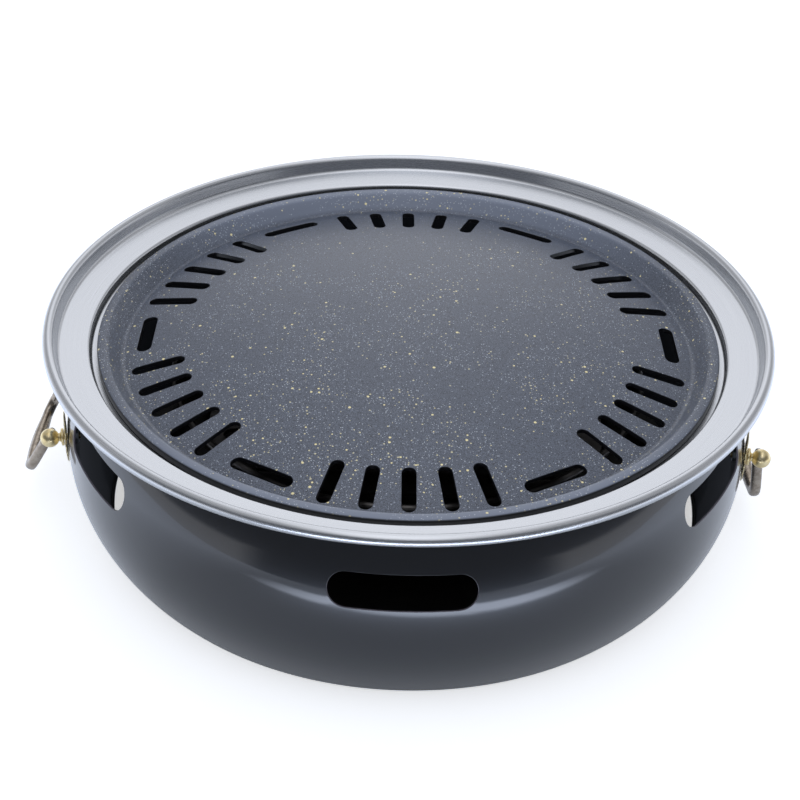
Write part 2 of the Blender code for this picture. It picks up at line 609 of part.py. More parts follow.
def bail_path():
    """Points and thicknesses from one end pin to the grip's middle, hanging down from the pivot."""
    leg = POST_HALF_SPACING - BALL_RADIUS - LEG_GAP - LEG_RADIUS
    points = [(POST_HALF_SPACING + PIN_PAST_CENTRE, 0.0, PIN_RADIUS)]
    for step in range(EDGE_STEPS + 1):
        angle = math.pi / 2.0 * step / EDGE_STEPS
        side = leg + ELBOW_RADIUS * (1.0 - math.sin(angle))
        thickness = PIN_RADIUS + (ELBOW_THICKNESS - PIN_RADIUS) * step / EDGE_STEPS
        points.append((side, -ELBOW_RADIUS * (1.0 - math.cos(angle)), thickness))
    points.append((leg, -ELBOW_RADIUS - ELBOW_TAPER, LEG_RADIUS))
    for step in range(BAIL_STEPS):
        angle = math.pi / 2.0 * step / (BAIL_STEPS - 1)
        side = leg - CORNER_RADIUS * (1.0 - math.cos(angle))
        points.append((side, -GRIP_DROP + CORNER_RADIUS * (1.0 - math.sin(angle)), LEG_RADIUS))
    for step in range(1, BAIL_STEPS):
        share = math.sin(math.pi / 2.0 * step / (BAIL_STEPS - 1))
        side = (leg - CORNER_RADIUS) * (1.0 - step / (BAIL_STEPS - 1))
        thickness = LEG_RADIUS + (GRIP_RADIUS - LEG_RADIUS) * share
        points.append((side, -GRIP_DROP - GRIP_BOW * share, thickness))
    return points


def make_bail(name, side, swing_deg, material):
    half = bail_path()
    points = half + [(-y, z, radius) for y, z, radius in half[-2::-1]]
    curve = bpy.data.curves.new(name, "CURVE")
    curve.dimensions = "3D"
    curve.bevel_depth = LEG_RADIUS
    curve.bevel_resolution = 2
    curve.use_fill_caps = True
    spline = curve.splines.new("POLY")
    spline.points.add(len(points) - 1)
    for target, (y, z, radius) in zip(spline.points, points):
        target.co = (0.0, y, z, 1.0)
        target.radius = radius / LEG_RADIUS
    bail = add_object(name, curve, material)
    bail.location = (side * pivot_reach(), 0.0, PIVOT_HEIGHT)
    bail.rotation_euler.y = math.radians(swing_deg)


def main():
    clear_scene()
    black = make_material("gloss_black_enamel", (0.012, 0.012, 0.014), 0.12, 0.0)
    dark = make_material("matt_black_enamel", (0.014, 0.014, 0.015), 0.55, 0.0)
    stainless = make_material("satin_stainless", (0.56, 0.57, 0.60), 0.28, 1.0)
    coating = make_material("speckled_non_stick", (0.085, 0.095, 0.125), 0.42, 0.0)
    brass = make_material("polished_brass", (0.72, 0.56, 0.29), 0.18, 1.0)
    bronze = make_material("aged_brass", (0.30, 0.25, 0.20), 0.30, 1.0)
    zinc = make_material("zinc_plated_steel", (0.50, 0.50, 0.51), 0.35, 1.0)
    shell = make_shell(black)
    make_ring(stainless)
    make_plate(coating)
    make_pan(stainless)
    make_feet(stainless, zinc)
    make_grate(stainless)
    make_tray(dark)
    make_clips(dark)
    make_posts(shell, brass, bronze, zinc)
    make_bail("left_bail", -1.0, LEFT_SWING_DEG, bronze)
    make_bail("right_bail", 1.0, RIGHT_SWING_DEG, bronze)


main()
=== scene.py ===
# %% [markdown]
# A round table grill, dressed for its picture.
#
# The frame that is loaded first holds every piece at its real size and place, as plain solids with
# few facets. Each step below takes one piece or one finish, says what it is on the real grill, and
# makes a finer version of it that sits exactly where the plain solid was.

# %% Load the frame
import json
import math

import bmesh
import bpy
from mathutils import Matrix, Vector

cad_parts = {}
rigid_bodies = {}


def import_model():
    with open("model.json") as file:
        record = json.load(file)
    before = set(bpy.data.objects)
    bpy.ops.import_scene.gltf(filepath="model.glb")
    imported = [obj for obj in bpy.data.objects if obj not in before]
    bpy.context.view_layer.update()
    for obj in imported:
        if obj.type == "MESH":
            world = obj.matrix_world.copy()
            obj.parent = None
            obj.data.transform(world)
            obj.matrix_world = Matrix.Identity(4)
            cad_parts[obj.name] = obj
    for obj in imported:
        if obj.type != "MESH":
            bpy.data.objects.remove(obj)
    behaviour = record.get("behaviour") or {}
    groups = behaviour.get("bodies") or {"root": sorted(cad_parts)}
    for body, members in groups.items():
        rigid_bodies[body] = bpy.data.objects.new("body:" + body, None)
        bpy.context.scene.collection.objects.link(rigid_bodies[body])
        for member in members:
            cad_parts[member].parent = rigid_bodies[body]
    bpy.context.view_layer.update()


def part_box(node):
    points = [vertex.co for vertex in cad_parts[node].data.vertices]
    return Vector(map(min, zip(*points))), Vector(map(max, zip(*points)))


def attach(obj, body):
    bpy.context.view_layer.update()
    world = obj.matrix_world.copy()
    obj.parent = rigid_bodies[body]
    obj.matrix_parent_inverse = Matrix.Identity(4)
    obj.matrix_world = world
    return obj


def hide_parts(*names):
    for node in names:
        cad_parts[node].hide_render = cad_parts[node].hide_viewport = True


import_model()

# %% [markdown]
# Sizes are easier to read in millimetres, as on a metal spinner's drawing, so one constant turns
# them to Blender's metres. All large pieces are round, and Z is the axis that they share.

# %% Units
MM = 0.001
Z_AXIS = Vector((0.0, 0.0, 1.0))
ORIGIN = Vector((0.0, 0.0, 0.0))


def mm(*sizes):
    """Sizes in millimetres as a vector in metres."""
    return Vector(sizes) * MM


print("one metre is", 1.0 / MM, "mm")

# %% [markdown]
# The camera stands where the photographer stood: a little over half a metre in front of the grill
# and nearly as high, with a short telephoto lens, looking down at about 34 degrees. It was found
# by matching the ellipses of the plate, the ring and the slots, so it's given as a place, a
# pitch and a small roll, which a "track to" constraint couldn't give.

# %% Camera
CAMERA_PLACE = mm(-3.1, -623.6, 473.4)
CAMERA_PITCH_DEG = 34.2
CAMERA_ROLL_DEG = 1.66
LENS_MM = 72.9

lens = bpy.data.cameras.new("camera")
lens.lens = LENS_MM
lens.sensor_width = 36.0
camera = bpy.data.objects.new("camera", lens)
bpy.context.scene.collection.objects.link(camera)
tilt = Matrix.Rotation(math.radians(90.0 - CAMERA_PITCH_DEG), 4, "X")
roll = Matrix.Rotation(math.radians(CAMERA_ROLL_DEG), 4, "Z")
camera.matrix_world = Matrix.Translation(CAMERA_PLACE) @ tilt @ roll
bpy.context.scene.camera = camera
print("camera is", round(CAMERA_PLACE.length, 3), "m from the grill's foot")

# %% [markdown]
# Colours are written as a picture editor's hex values, and Cycles works in linear light, so one
# function turns the first into the second. Others add one kind of shader node with its links and
# return its result, so that each material below reads like a sum.

# %% Helpers for colours, nodes and objects
PLAIN_WHITE = "FFFFFF"
NOISE_SPAN = (0.3, 0.7)     # nearly all of a noise's values lie in here


def srgb(hex_text):
    """An sRGB hex colour as linear red, green, blue and alpha."""
    parts = [int(hex_text[i:i + 2], 16) / 255.0 for i in (0, 2, 4)]
    return tuple(p / 12.92 if p <= 0.04045 else ((p + 0.055) / 1.055) ** 2.4 for p in parts) + (1.0,)


def plug(tree, node, inputs):
    """Set a node's inputs to values, or link them where the value is a socket."""
    for name, value in inputs.items():
        if isinstance(value, bpy.types.NodeSocket):
            tree.links.new(value, node.inputs[name])
        else:
            node.inputs[name].default_value = value


def add(tree, kind, inputs=None, **settings):
    """Add a shader node and return its outputs."""
    made = tree.nodes.new("ShaderNode" + kind)
    for name, value in settings.items():
        setattr(made, name, value)
    plug(tree, made, inputs or {})
    return made.outputs


def own_place(tree):
    """The piece's own coordinates, in metres."""
    return add(tree, "TexCoord")["Object"]


def calc(tree, operation, *values, clamp=False):
    return add(tree, "Math", dict(enumerate(values)), operation=operation, use_clamp=clamp)[0]


def vector(tree, operation, *values):
    """Vector maths; a length, a distance or a dot product comes back as one number."""
    made = add(tree, "VectorMath", dict(enumerate(values)), operation=operation)
    return made["Value" if operation in ("LENGTH", "DISTANCE", "DOT_PRODUCT") else "Vector"]


def remap(tree, value, start, end, low=0.0, high=1.0, kind="LINEAR"):
    """Go from low to high while a value goes from start to end, and stay level outside."""
    return add(tree, "MapRange", {0: value, 1: start, 2: end, 3: low, 4: high},
               interpolation_type=kind)[0]


def ease(tree, value, start, end, low=0.0, high=1.0):
    """The same with a soft start and end."""
    return remap(tree, value, start, end, low, high, "SMOOTHSTEP")


def mix(tree, share, first, second):
    return add(tree, "MixRGB", {0: share, 1: first, 2: second})[0]


def two_tones(tree, value, low, first, high, second):
    """A colour that goes from the first to the second while a value goes from low to high."""
    made = tree.nodes.new("ShaderNodeValToRGB")
    for stop, place, colour in zip(made.color_ramp.elements, (low, high), (first, second)):
        stop.position = place
        stop.color = srgb(colour)
    tree.links.new(value, made.inputs[0])
    return made.outputs[0]


def noise(tree, place, size, detail):
    return add(tree, "TexNoise", {"Vector": place, "Scale": 1.0 / size, "Detail": detail})[0]


def bumps(tree, height, strength, distance):
    return add(tree, "Bump", {"Height": height, "Strength": strength, "Distance": distance})[0]


def new_finish(name, constants):
    """A material with a Principled shader whose constant values sit on its own sockets."""
    material = bpy.data.materials.new(name)
    material.use_nodes = True
    tree = material.node_tree
    shader = tree.nodes["Principled BSDF"]
    plug(tree, shader, constants)
    return material, tree, shader


def new_object(name, bm, finish):
    """Turn a bmesh into an object of the scene."""
    mesh = bpy.data.meshes.new(name)
    bm.to_mesh(mesh)
    bm.free()
    mesh.materials.append(finish)
    made = bpy.data.objects.new(name, mesh)
    bpy.context.scene.collection.objects.link(made)
    return made


print("mid grey 808080 is", round(srgb("808080")[0], 3), "in linear light")

# %% [markdown]
# The floor is a pale matt board that ends half a metre in front of the grill, as a photographer's
# table does. Its diffuse colour lights the grill from below, and a little emission, seen only by
# the camera and in reflections, lifts it to white while the grill's soft shadow stays on it.
# Near its front the board glows, only in reflections, in a bright patch with no lamp over it: a
# painted pool of light, which shows as a bright bar in the black shell. The board lies a tenth of
# a millimetre low, so that it never flickers against the hem.

# %% Floor
FLOOR_HALF = 3.0
FLOOR_DROP = 0.1 * MM
FLOOR_DIFFUSE = "D9E0EC"
FLOOR_FRONT = 500.0 * MM
FLOOR_LIFT = 0.58           # for the camera
FLOOR_NEAR = 250.0 * MM     # for reflections there's no lift up to here from the pool
FLOOR_FAR = 500.0 * MM
FLOOR_FAR_LIFT = 0.9
# painted pool of light: a glowing patch of the board, seen only in reflections, with no lamp
POOL_CENTRE = mm(30.0, -306.0, 0.0)
POOL_TURN_DEG = 7.0
POOL_HALF = mm(300.0, 48.0, 1000.0)
POOL_SOFT = 0.35            # share of the half size at which the pool starts to fade
PAINTED_POOL_GLOW = 6.0
POOL_TINT = "D6E0F4"

board, tree, shader = new_finish("matt_white_board", {
    "Base Color": srgb(FLOOR_DIFFUSE), "Roughness": 0.9, "Specular IOR Level": 0.1})
path = add(tree, "LightPath")
place = own_place(tree)
pool = add(tree, "VectorRotate", {"Vector": place, "Center": POOL_CENTRE,
                                  "Angle": math.radians(-POOL_TURN_DEG)}, rotation_type="Z_AXIS")
pool = vector(tree, "DIVIDE", vector(tree, "SUBTRACT", pool[0], POOL_CENTRE), POOL_HALF)
sides = add(tree, "SeparateXYZ", {0: vector(tree, "ABSOLUTE", pool)})
wide, deep = (ease(tree, sides[side], 1.0, POOL_SOFT) for side in (0, 1))
away = vector(tree, "DISTANCE", place, POOL_CENTRE)
around = remap(tree, away, FLOOR_NEAR, FLOOR_FAR, 0.0, FLOOR_FAR_LIFT)
# the painted pool's glow, with the floor's lift for reflections around it
pool = remap(tree, calc(tree, "MULTIPLY", wide, deep), 0.0, 1.0, around, PAINTED_POOL_GLOW)
mirrored = calc(tree, "ADD", path["Is Glossy Ray"], path["Is Transmission Ray"], clamp=True)
mirrored = calc(tree, "MULTIPLY", mirrored, pool)
plug(tree, shader, {
    "Emission Color": mix(tree, path["Is Camera Ray"], srgb(POOL_TINT), srgb(PLAIN_WHITE)),
    "Emission Strength": calc(tree, "MULTIPLY_ADD", path["Is Camera Ray"], FLOOR_LIFT, mirrored)})
bm = bmesh.new()
bmesh.ops.create_grid(bm, x_segments=1, y_segments=1, size=FLOOR_HALF)
bmesh.ops.translate(bm, verts=bm.verts, vec=(0.0, FLOOR_HALF - FLOOR_FRONT, -FLOOR_DROP))
floor = new_object("floor", bm, board)
print("floor", 2.0 * FLOOR_HALF, "m wide")

# %% [markdown]
# Black gloss enamel is mostly a mirror, so it looks like the room around it. This room is a white
# tent, open at the front where the photographer stands: there it's dark from just over the table
# to well above the camera, and straight ahead also below the table's edge. Its back and its top
# are lit more strongly than its sides. Only reflections see all this. For diffuse light the tent
# is an even dome, and seen directly it is plain white.

# %% Studio tent
# In each pair of numbers a change starts at the first and is complete at the second. A height is
# the sine of the angle above level, and a turn is the cosine of the angle from straight ahead.
DOME_STRENGTH = 0.92
TENT_WHITE = "F5F6FA"
OPENING_DIM = 0.23          # radiance in the opening, where the tent has 1
OPENING_TINT = "C6CBD6"
OPENING_LOW = (0.06, 0.13)      # heights
OPENING_HIGH = (0.48, 0.86)
OPENING_SIDE = (-0.17, 0.26)    # turns
OPENING_AHEAD = (0.62, 0.78)    # within this turn it's dark below the table too
BACK_LIGHT = 0.28           # what the lamps add to the tent's back and to its top
BACK_SPAN = (0.3, 0.9)          # how far the way points to the back
TOP_LIGHT = 0.5
TOP_SPAN = (0.7, 0.97)          # heights
SIDE_DIM = -0.5             # what the tent's sides lack above the grill's own height
SIDE_SPAN = (0.03, 0.42)        # how far the way points to a side
SIDE_RISE = (0.08, 0.4)         # heights

world = bpy.data.worlds.new("studio_tent")
world.use_nodes = True
bpy.context.scene.world = world
sky = world.node_tree
path = add(sky, "LightPath")
glossy = calc(sky, "ADD", path["Is Glossy Ray"], path["Is Transmission Ray"], clamp=True)
direct = calc(sky, "ADD", glossy, path["Is Camera Ray"], clamp=True)
x, y, z = add(sky, "SeparateXYZ", {0: add(sky, "TexCoord")["Generated"]})
flat = vector(sky, "NORMALIZE", add(sky, "CombineXYZ", {0: x, 1: y})[0])
turn = vector(sky, "DOT_PRODUCT", flat, (0.0, -1.0, 0.0))
opening = calc(sky, "MAXIMUM", ease(sky, z, *OPENING_LOW), ease(sky, turn, *OPENING_AHEAD))
for limit in (ease(sky, z, *OPENING_HIGH, 1.0, 0.0), ease(sky, turn, *OPENING_SIDE), glossy):
    opening = calc(sky, "MULTIPLY", opening, limit)
back = ease(sky, y, *BACK_SPAN, 0.0, BACK_LIGHT)
top = ease(sky, z, *TOP_SPAN, 0.0, TOP_LIGHT)
side = ease(sky, z, *SIDE_RISE, 0.0, SIDE_DIM)
across = ease(sky, calc(sky, "ABSOLUTE", x), *SIDE_SPAN)
lamps = remap(sky, across, 0.0, 1.0, calc(sky, "MAXIMUM", back, top), side)
level = remap(sky, direct, 0.0, 1.0, DOME_STRENGTH, 1.0)
level = calc(sky, "ADD", level, calc(sky, "MULTIPLY", lamps, glossy))
tint = mix(sky, glossy, srgb(PLAIN_WHITE), srgb(TENT_WHITE))
plug(sky, sky.nodes["Background"], {
    "Color": mix(sky, opening, tint, srgb(OPENING_TINT)),
    "Strength": remap(sky, opening, 0.0, 1.0, level, OPENING_DIM)})
bpy.context.scene.view_settings.view_transform = "Standard"
print("dome strength", DOME_STRENGTH, "and opening", OPENING_DIM)

# %% [markdown]
# Most pieces of this grill are sheet metal, spun or pressed. The easiest way to model sheet is
# the maker's: draw one face of it, then give it its thickness. So each one starts as a surface
# without thickness, a Solidify modifier adds the wall behind it, and a small Bevel breaks its
# cut edges, because no real sheet edge is perfectly sharp.

# %% A piece from a bmesh
MERGE = 0.002 * MM
SHARP_DEG = 34.0


def finish_piece(name, bm, finish, body, nodes, wall=0.0, edge=0.0, cut_finish=None,
                 inner_finish=None):
    """Close up a bmesh, give it wall and edge modifiers, and let it stand for the CAD nodes."""
    bmesh.ops.remove_doubles(bm, verts=bm.verts, dist=MERGE)
    bmesh.ops.recalc_face_normals(bm, faces=bm.faces)
    piece = new_object(name, bm, finish)
    mesh = piece.data
    mesh.shade_smooth()
    mesh.set_sharp_from_angle(angle=math.radians(SHARP_DEG))
    if wall:
        solid = piece.modifiers.new("sheet thickness", "SOLIDIFY")
        solid.thickness = wall
        solid.offset = -1.0
        solid.use_even_offset = True
        if cut_finish:
            mesh.materials.append(cut_finish)
            solid.material_offset_rim = 1
        if inner_finish:
            mesh.materials.append(inner_finish)
            solid.material_offset = 2
    if edge:
        soft = piece.modifiers.new("broken edges", "BEVEL")
        soft.width = edge
        soft.segments = 2
        soft.limit_method = "ANGLE"
        soft.angle_limit = math.radians(SHARP_DEG)
        soft.harden_normals = True
    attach(piece, body)
    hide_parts(*nodes)
    print(name, "has", len(mesh.polygons), "faces before its modifiers")


# %% [markdown]
# A turned piece begins as half of its section, drawn as a wire in the XZ plane. Straight runs are
# edges to new points, round runs are a point spun about the bend's centre, and corners are rounded
# with a vertex bevel, as in a drawing of a spun bowl: lines, arcs, fillets.

# %% Wire helpers


def new_wire(x, z):
    """A bmesh with the first point of a wire."""
    bm = bmesh.new()
    return bm, bm.verts.new((x, 0.0, z))


def run_to(bm, vert, x, z, steps=1):
    """Run the wire straight on to a point of the XZ plane, in equal steps."""
    step = (Vector((x, 0.0, z)) - vert.co) / steps
    made = bmesh.ops.spin(bm, geom=[vert], cent=ORIGIN, axis=Z_AXIS, dvec=step, angle=0.0,
                          steps=steps)
    return made["geom_last"][0]


def turn_about(bm, vert, x, z, degrees, steps):
    """Run the wire on round a centre in the XZ plane, clockwise when seen from the front."""
    axis = (0.0, math.copysign(1.0, degrees), 0.0)
    made = bmesh.ops.spin(bm, geom=[vert], cent=(x, 0.0, z), axis=axis,
                          angle=math.radians(abs(degrees)), steps=steps)
    return made["geom_last"][0]


def round_corner(bm, vert, offset, steps=4):
    """Round one corner of a wire; the rounding starts this far from the corner."""
    bmesh.ops.bevel(bm, geom=[vert], offset=offset, offset_type="OFFSET", segments=steps,
                    profile=0.5, affect="VERTICES", material=-1)


def spin_about_z(bm, degrees, steps, copies=False):
    """Spin everything in the bmesh about the grill's axis, as a surface or as copies."""
    geom = bm.verts[:] + bm.edges[:] + bm.faces[:]
    bmesh.ops.spin(bm, geom=geom, cent=ORIGIN, axis=Z_AXIS, angle=math.radians(degrees),
                   steps=steps, use_duplicate=copies)


def turn_all(bm, degrees):
    """Turn everything in the bmesh about the grill's axis."""
    bmesh.ops.rotate(bm, verts=bm.verts, cent=ORIGIN,
                     matrix=Matrix.Rotation(math.radians(degrees), 3, "Z"))


print("wire tools ready")

# %% [markdown]
# The vents and slots are punched holes with full round ends. Cutting them with a Boolean would
# leave long thin faces, and on a gloss surface these show as ripples. Instead the faces round
# each hole are taken out of the even grid, a wire of the hole's outline with as many points as
# the gap's rim is laid in, and the two are bridged, so that even rings of faces run round it.

# %% Punched holes


def ends_of(edges):
    """The end points of some edges, each of them once."""
    return list({vert for edge in edges for vert in edge.verts})


def open_block(bm, inside):
    """Delete the faces whose middles pass a test, and return the edges round the gap."""
    block = [face for face in bm.faces if inside(face.calc_center_median())]
    chosen = set(block)
    rim = {edge for face in block for edge in face.edges if set(edge.link_faces) - chosen}
    bmesh.ops.delete(bm, geom=block, context="FACES")
    return list(rim)


def open_sector(bm, middle_deg, half_deg, radii):
    """Do the same in a sector of the round grid, between two radii."""
    def inside(point):
        off = math.degrees(math.atan2(point.y, point.x)) - middle_deg
        return abs(off) < half_deg and radii[0] < point.xy.length < radii[1]
    return open_block(bm, inside)


def slot_wire(bm, length, width, count):
    """A closed wire of count edges round a slot that is long along X, about the origin."""
    known = set(bm.edges)
    half = (length - width) / 2.0
    end_steps = count // 4
    side_steps = count // 2 - end_steps
    for side in (1.0, -1.0):
        tip = bm.verts.new((side * half, -side * width / 2.0, 0.0))
        made = bmesh.ops.spin(bm, geom=[tip], cent=(side * half, 0.0, 0.0), axis=Z_AXIS,
                              angle=math.pi, steps=end_steps)
        step = Vector((-2.0 * side * half / side_steps, 0.0, 0.0))
        bmesh.ops.spin(bm, geom=made["geom_last"], cent=ORIGIN, axis=Z_AXIS, dvec=step,
                       angle=0.0, steps=side_steps)
    made = [edge for edge in bm.edges if edge not in known]
    bmesh.ops.remove_doubles(bm, verts=ends_of(made), dist=MERGE)
    return [edge for edge in bm.edges if edge not in known]


def bridge_hole(bm, rim, wire, rings):
    """Join a gap's rim to the wire of a hole with rings of faces, and return the new points."""
    faces = bmesh.ops.bridge_loops(bm, edges=rim + wire)["faces"]
    spokes = {edge for face in faces for edge in face.edges} - set(rim) - set(wire)
    made = bmesh.ops.subdivide_edges(bm, edges=list(spokes), cuts=rings - 1, use_grid_fill=True)
    return [part for part in made["geom_inner"] if isinstance(part, bmesh.types.BMVert)]


print("hole tools ready")

# %% [markdown]
# Porcelain enamel is glass powder fused to sheet steel at about 800 degrees: a deep black with a
# clear, slightly wavy gloss. The waves are a few millimetres long and only microns high, enough
# to smear reflections a little. The black itself is rough, and a clear coat over it makes the
# sharp reflection. On a cut edge the molten glass draws back and stays thin, so the punched edges
# get a lighter grey version, which is also a painted highlight: the thin light line that these
# edges catch. Inside there's only the ground coat, dulled by soot.

# %% Finish: gloss black enamel
ENAMEL_WAVE = 5.0 * MM
ENAMEL_WAVE_HEIGHT = 0.004 * MM
ENAMEL_TINT = (0.85, 0.9, 1.0, 1.0)


def enamel(name, colour, roughness, gloss=1.0):
    """Black glass on steel: a dark base, and a clear coat with slight waves in it."""
    glaze, tree, shader = new_finish(name, {
        "Base Color": srgb(colour), "Roughness": roughness, "IOR": 1.5,
        "Specular Tint": ENAMEL_TINT, "Coat Weight": gloss, "Coat Roughness": 0.045,
        "Coat IOR": 1.5})
    waves = bumps(tree, noise(tree, own_place(tree), ENAMEL_WAVE, 1.0), 1.0, ENAMEL_WAVE_HEIGHT)
    plug(tree, shader, {"Normal": waves, "Coat Normal": waves})
    return glaze


gloss_black = enamel("gloss_black_porcelain_enamel", "0A0C12", 0.3)
# the cut edges' lighter grey is partly thin enamel and partly a painted highlight line
cut_edge_grey_with_painted_highlight = enamel("thin_enamel_and_painted_highlight_on_cut_edges", "66636F", 0.4)
inner_black = enamel("sooty_ground_coat_enamel", "08080A", 0.55, 0.12)
print("enamel waves are", ENAMEL_WAVE / MM, "mm long")

# %% [markdown]
# The body shell is a barrel of 0.9 mm sheet with a straight neck that carries the ring, a narrow
# turned-in hem that it stands on, and five vents, a sixth of a turn apart with none at the back.
# Its section is spun once round, and then each vent is laid into the even grid of faces.

# %% Body shell
BELLY_RADIUS = 155.6 * MM
BELLY_HEIGHT = 43.8 * MM
BULGE_RADIUS = 68.1 * MM
BULGE_CENTRE = BELLY_RADIUS - BULGE_RADIUS
NECK_RADIUS = 144.4 * MM
NECK_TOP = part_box("body_shell")[1].z
SHELL_WALL = 0.9 * MM
HEM_WIDTH = 1.8 * MM
HEM_BEND = 0.6 * MM
SHOULDER_BEND = 2.5 * MM
VENTS_DEG = (30, 150, 210, 270, 330)
VENT_LENGTH = 58.5 * MM
VENT_OPENING = 14.5 * MM
VENT_HEIGHT = 63.4 * MM
VENT_MARGIN = 6.5 * MM
VENT_MARGIN_UP = 3.9 * MM
ROUND_STEPS = 240           # faces round the shell and the ring


def wall_radius(height):
    """Outer radius of the barrel at a height between the hem and the shoulder."""
    return BULGE_CENTRE + math.sqrt(BULGE_RADIUS ** 2 - (height - BELLY_HEIGHT) ** 2)


foot_radius = wall_radius(0.0)
low_deg = math.degrees(math.asin(BELLY_HEIGHT / BULGE_RADIUS))
high_deg = math.degrees(math.acos((NECK_RADIUS - BULGE_CENTRE) / BULGE_RADIUS))

bm, hem = new_wire(foot_radius - HEM_WIDTH, 0.0)
foot = run_to(bm, hem, foot_radius, 0.0)
shoulder = turn_about(bm, foot, BULGE_CENTRE, BELLY_HEIGHT, -(low_deg + high_deg), steps=44)
run_to(bm, shoulder, NECK_RADIUS, NECK_TOP, steps=4)
round_corner(bm, foot, HEM_BEND)
round_corner(bm, shoulder, SHOULDER_BEND)
spin_about_z(bm, 360.0, ROUND_STEPS)


def cut_vent(bm, middle):
    """Open a block of the wall's faces and bridge a vent's outline into it."""
    turn = Matrix.Rotation(middle, 3, "Z")

    def inside(point):
        local = turn.transposed() @ point
        along = math.atan2(local.y, local.x) * BELLY_RADIUS
        return (abs(along) < VENT_LENGTH / 2.0 + VENT_MARGIN
                and abs(local.z - VENT_HEIGHT) < VENT_OPENING / 2.0 + VENT_MARGIN_UP)
    rim = open_block(bm, inside)
    wire = slot_wire(bm, VENT_LENGTH, VENT_OPENING, len(rim))
    for vert in ends_of(wire):
        along, height = vert.co.x, vert.co.y + VENT_HEIGHT
        reach = math.sqrt(wall_radius(height) ** 2 - along ** 2)
        vert.co = turn @ Vector((reach, along, height))
    for vert in bridge_hole(bm, rim, wire, rings=3):
        vert.co.xy = vert.co.xy.normalized() * wall_radius(vert.co.z)


for vent_deg in VENTS_DEG:
    cut_vent(bm, math.radians(vent_deg))
finish_piece("barrel_shell", bm, gloss_black, "shell", ["body_shell"],
             wall=SHELL_WALL, edge=0.2 * MM, cut_finish=cut_edge_grey_with_painted_highlight, inner_finish=inner_black)
print(len(VENTS_DEG), "vents; the hem stands on a circle of", round(foot_radius / MM, 1), "mm")

# %% [markdown]
# The drip ring is satin stainless steel, brushed while it turned on a lathe. The brush leaves
# fine rings, so the finish is made from a noise that changes fast across them and hardly at all
# along them. Its coordinates are the distance from the axis plus the height, and the unit vector
# away from the axis, which meets itself after a full turn and so has no seam.

# %% Finish: brushed stainless steel
BRUSH_LINE = 0.18 * MM
BRUSH_DEPTH = 0.004 * MM
BRUSH_STREAKS = 3.0         # times two pi, the streaks in a full turn of a line


def turned_place(tree):
    """Noise coordinates that run in rings round Z: fine lines across, long streaks along."""
    x, y, z = add(tree, "SeparateXYZ", {0: own_place(tree)})
    flat = add(tree, "CombineXYZ", {0: x, 1: y})[0]
    level = calc(tree, "ADD", vector(tree, "LENGTH", flat), z)
    unit = vector(tree, "NORMALIZE", flat)
    streak = vector(tree, "MULTIPLY", unit, (BRUSH_STREAKS, BRUSH_STREAKS, 0.0))
    ends = add(tree, "SeparateXYZ", {0: streak})
    fine = calc(tree, "MULTIPLY", level, 1.0 / BRUSH_LINE)
    return add(tree, "CombineXYZ", {0: fine, 1: ends[0], 2: ends[1]})[0]


def brushed_steel(name, colour, roughness, spread):
    """Stainless steel with a turned brush finish; spread is how far the roughness varies."""
    steel, tree, shader = new_finish(name, {
        "Base Color": srgb(colour), "Metallic": 1.0, "Anisotropic": 0.55,
        "Anisotropic Rotation": 0.25})
    lines = noise(tree, turned_place(tree), 1.0, 3.0)
    plug(tree, shader, {
        "Roughness": remap(tree, lines, *NOISE_SPAN, roughness - spread, roughness + spread),
        "Normal": bumps(tree, lines, 0.3, BRUSH_DEPTH),
        "Tangent": add(tree, "Tangent", axis="Z")[0]})
    return steel


satin_steel = brushed_steel("satin_brushed_stainless_steel", "CACDD2", 0.26, 0.04)
print("brush lines are", BRUSH_LINE / MM, "mm apart")

# %% [markdown]
# The drip ring catches the fat. Its sheet runs from a lip under the plate, up the well, over a
# rounded edge, out along a gently rising floor and up a leaning wall, and its rim is rolled
# outward into a bead, as a spinner does to hide the cut edge. The wire below is the upper face
# in that order, and the wall is the straight line that touches the bead's circle.

# %% Drip ring
WELL_RADIUS = 142.1 * MM
LIP_RADIUS = 135.0 * MM
LIP_TOP = 85.12 * MM
RING_FLOOR = 89.42 * MM
WELL_EDGE = 1.5 * MM
CREASE_RADIUS = 155.9 * MM
CREASE_HEIGHT = 91.42 * MM
BEAD_RADIUS = 2.5 * MM
BEAD_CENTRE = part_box("drip_ring")[1].x - BEAD_RADIUS
BEAD_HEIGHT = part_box("drip_ring")[1].z - BEAD_RADIUS
RING_SHEET = 0.9 * MM
RING_BEND = 1.2 * MM
SPUN_EDGE = 0.12 * MM
ROLL_DEG = 298.0


def roll_up(bm, vert, bend, bead, bead_radius, steps):
    """Lean a wire out from a bend until it touches a bead's circle, and roll it up there."""
    x, z, radius = bend
    reach = Vector((bead[0] - x, bead[1] - z))
    lean = math.atan2(reach.x, reach.y) - math.asin((radius + bead_radius) / reach.length)
    touch = Vector((bead[0] - bead_radius * math.cos(lean), bead[1] + bead_radius * math.sin(lean)))
    if radius:
        vert = turn_about(bm, vert, x, z, math.degrees(lean) - 90.0, steps)
    top = run_to(bm, vert, touch.x, touch.y, 3)
    turn_about(bm, top, bead[0], bead[1], ROLL_DEG, 4 * steps)


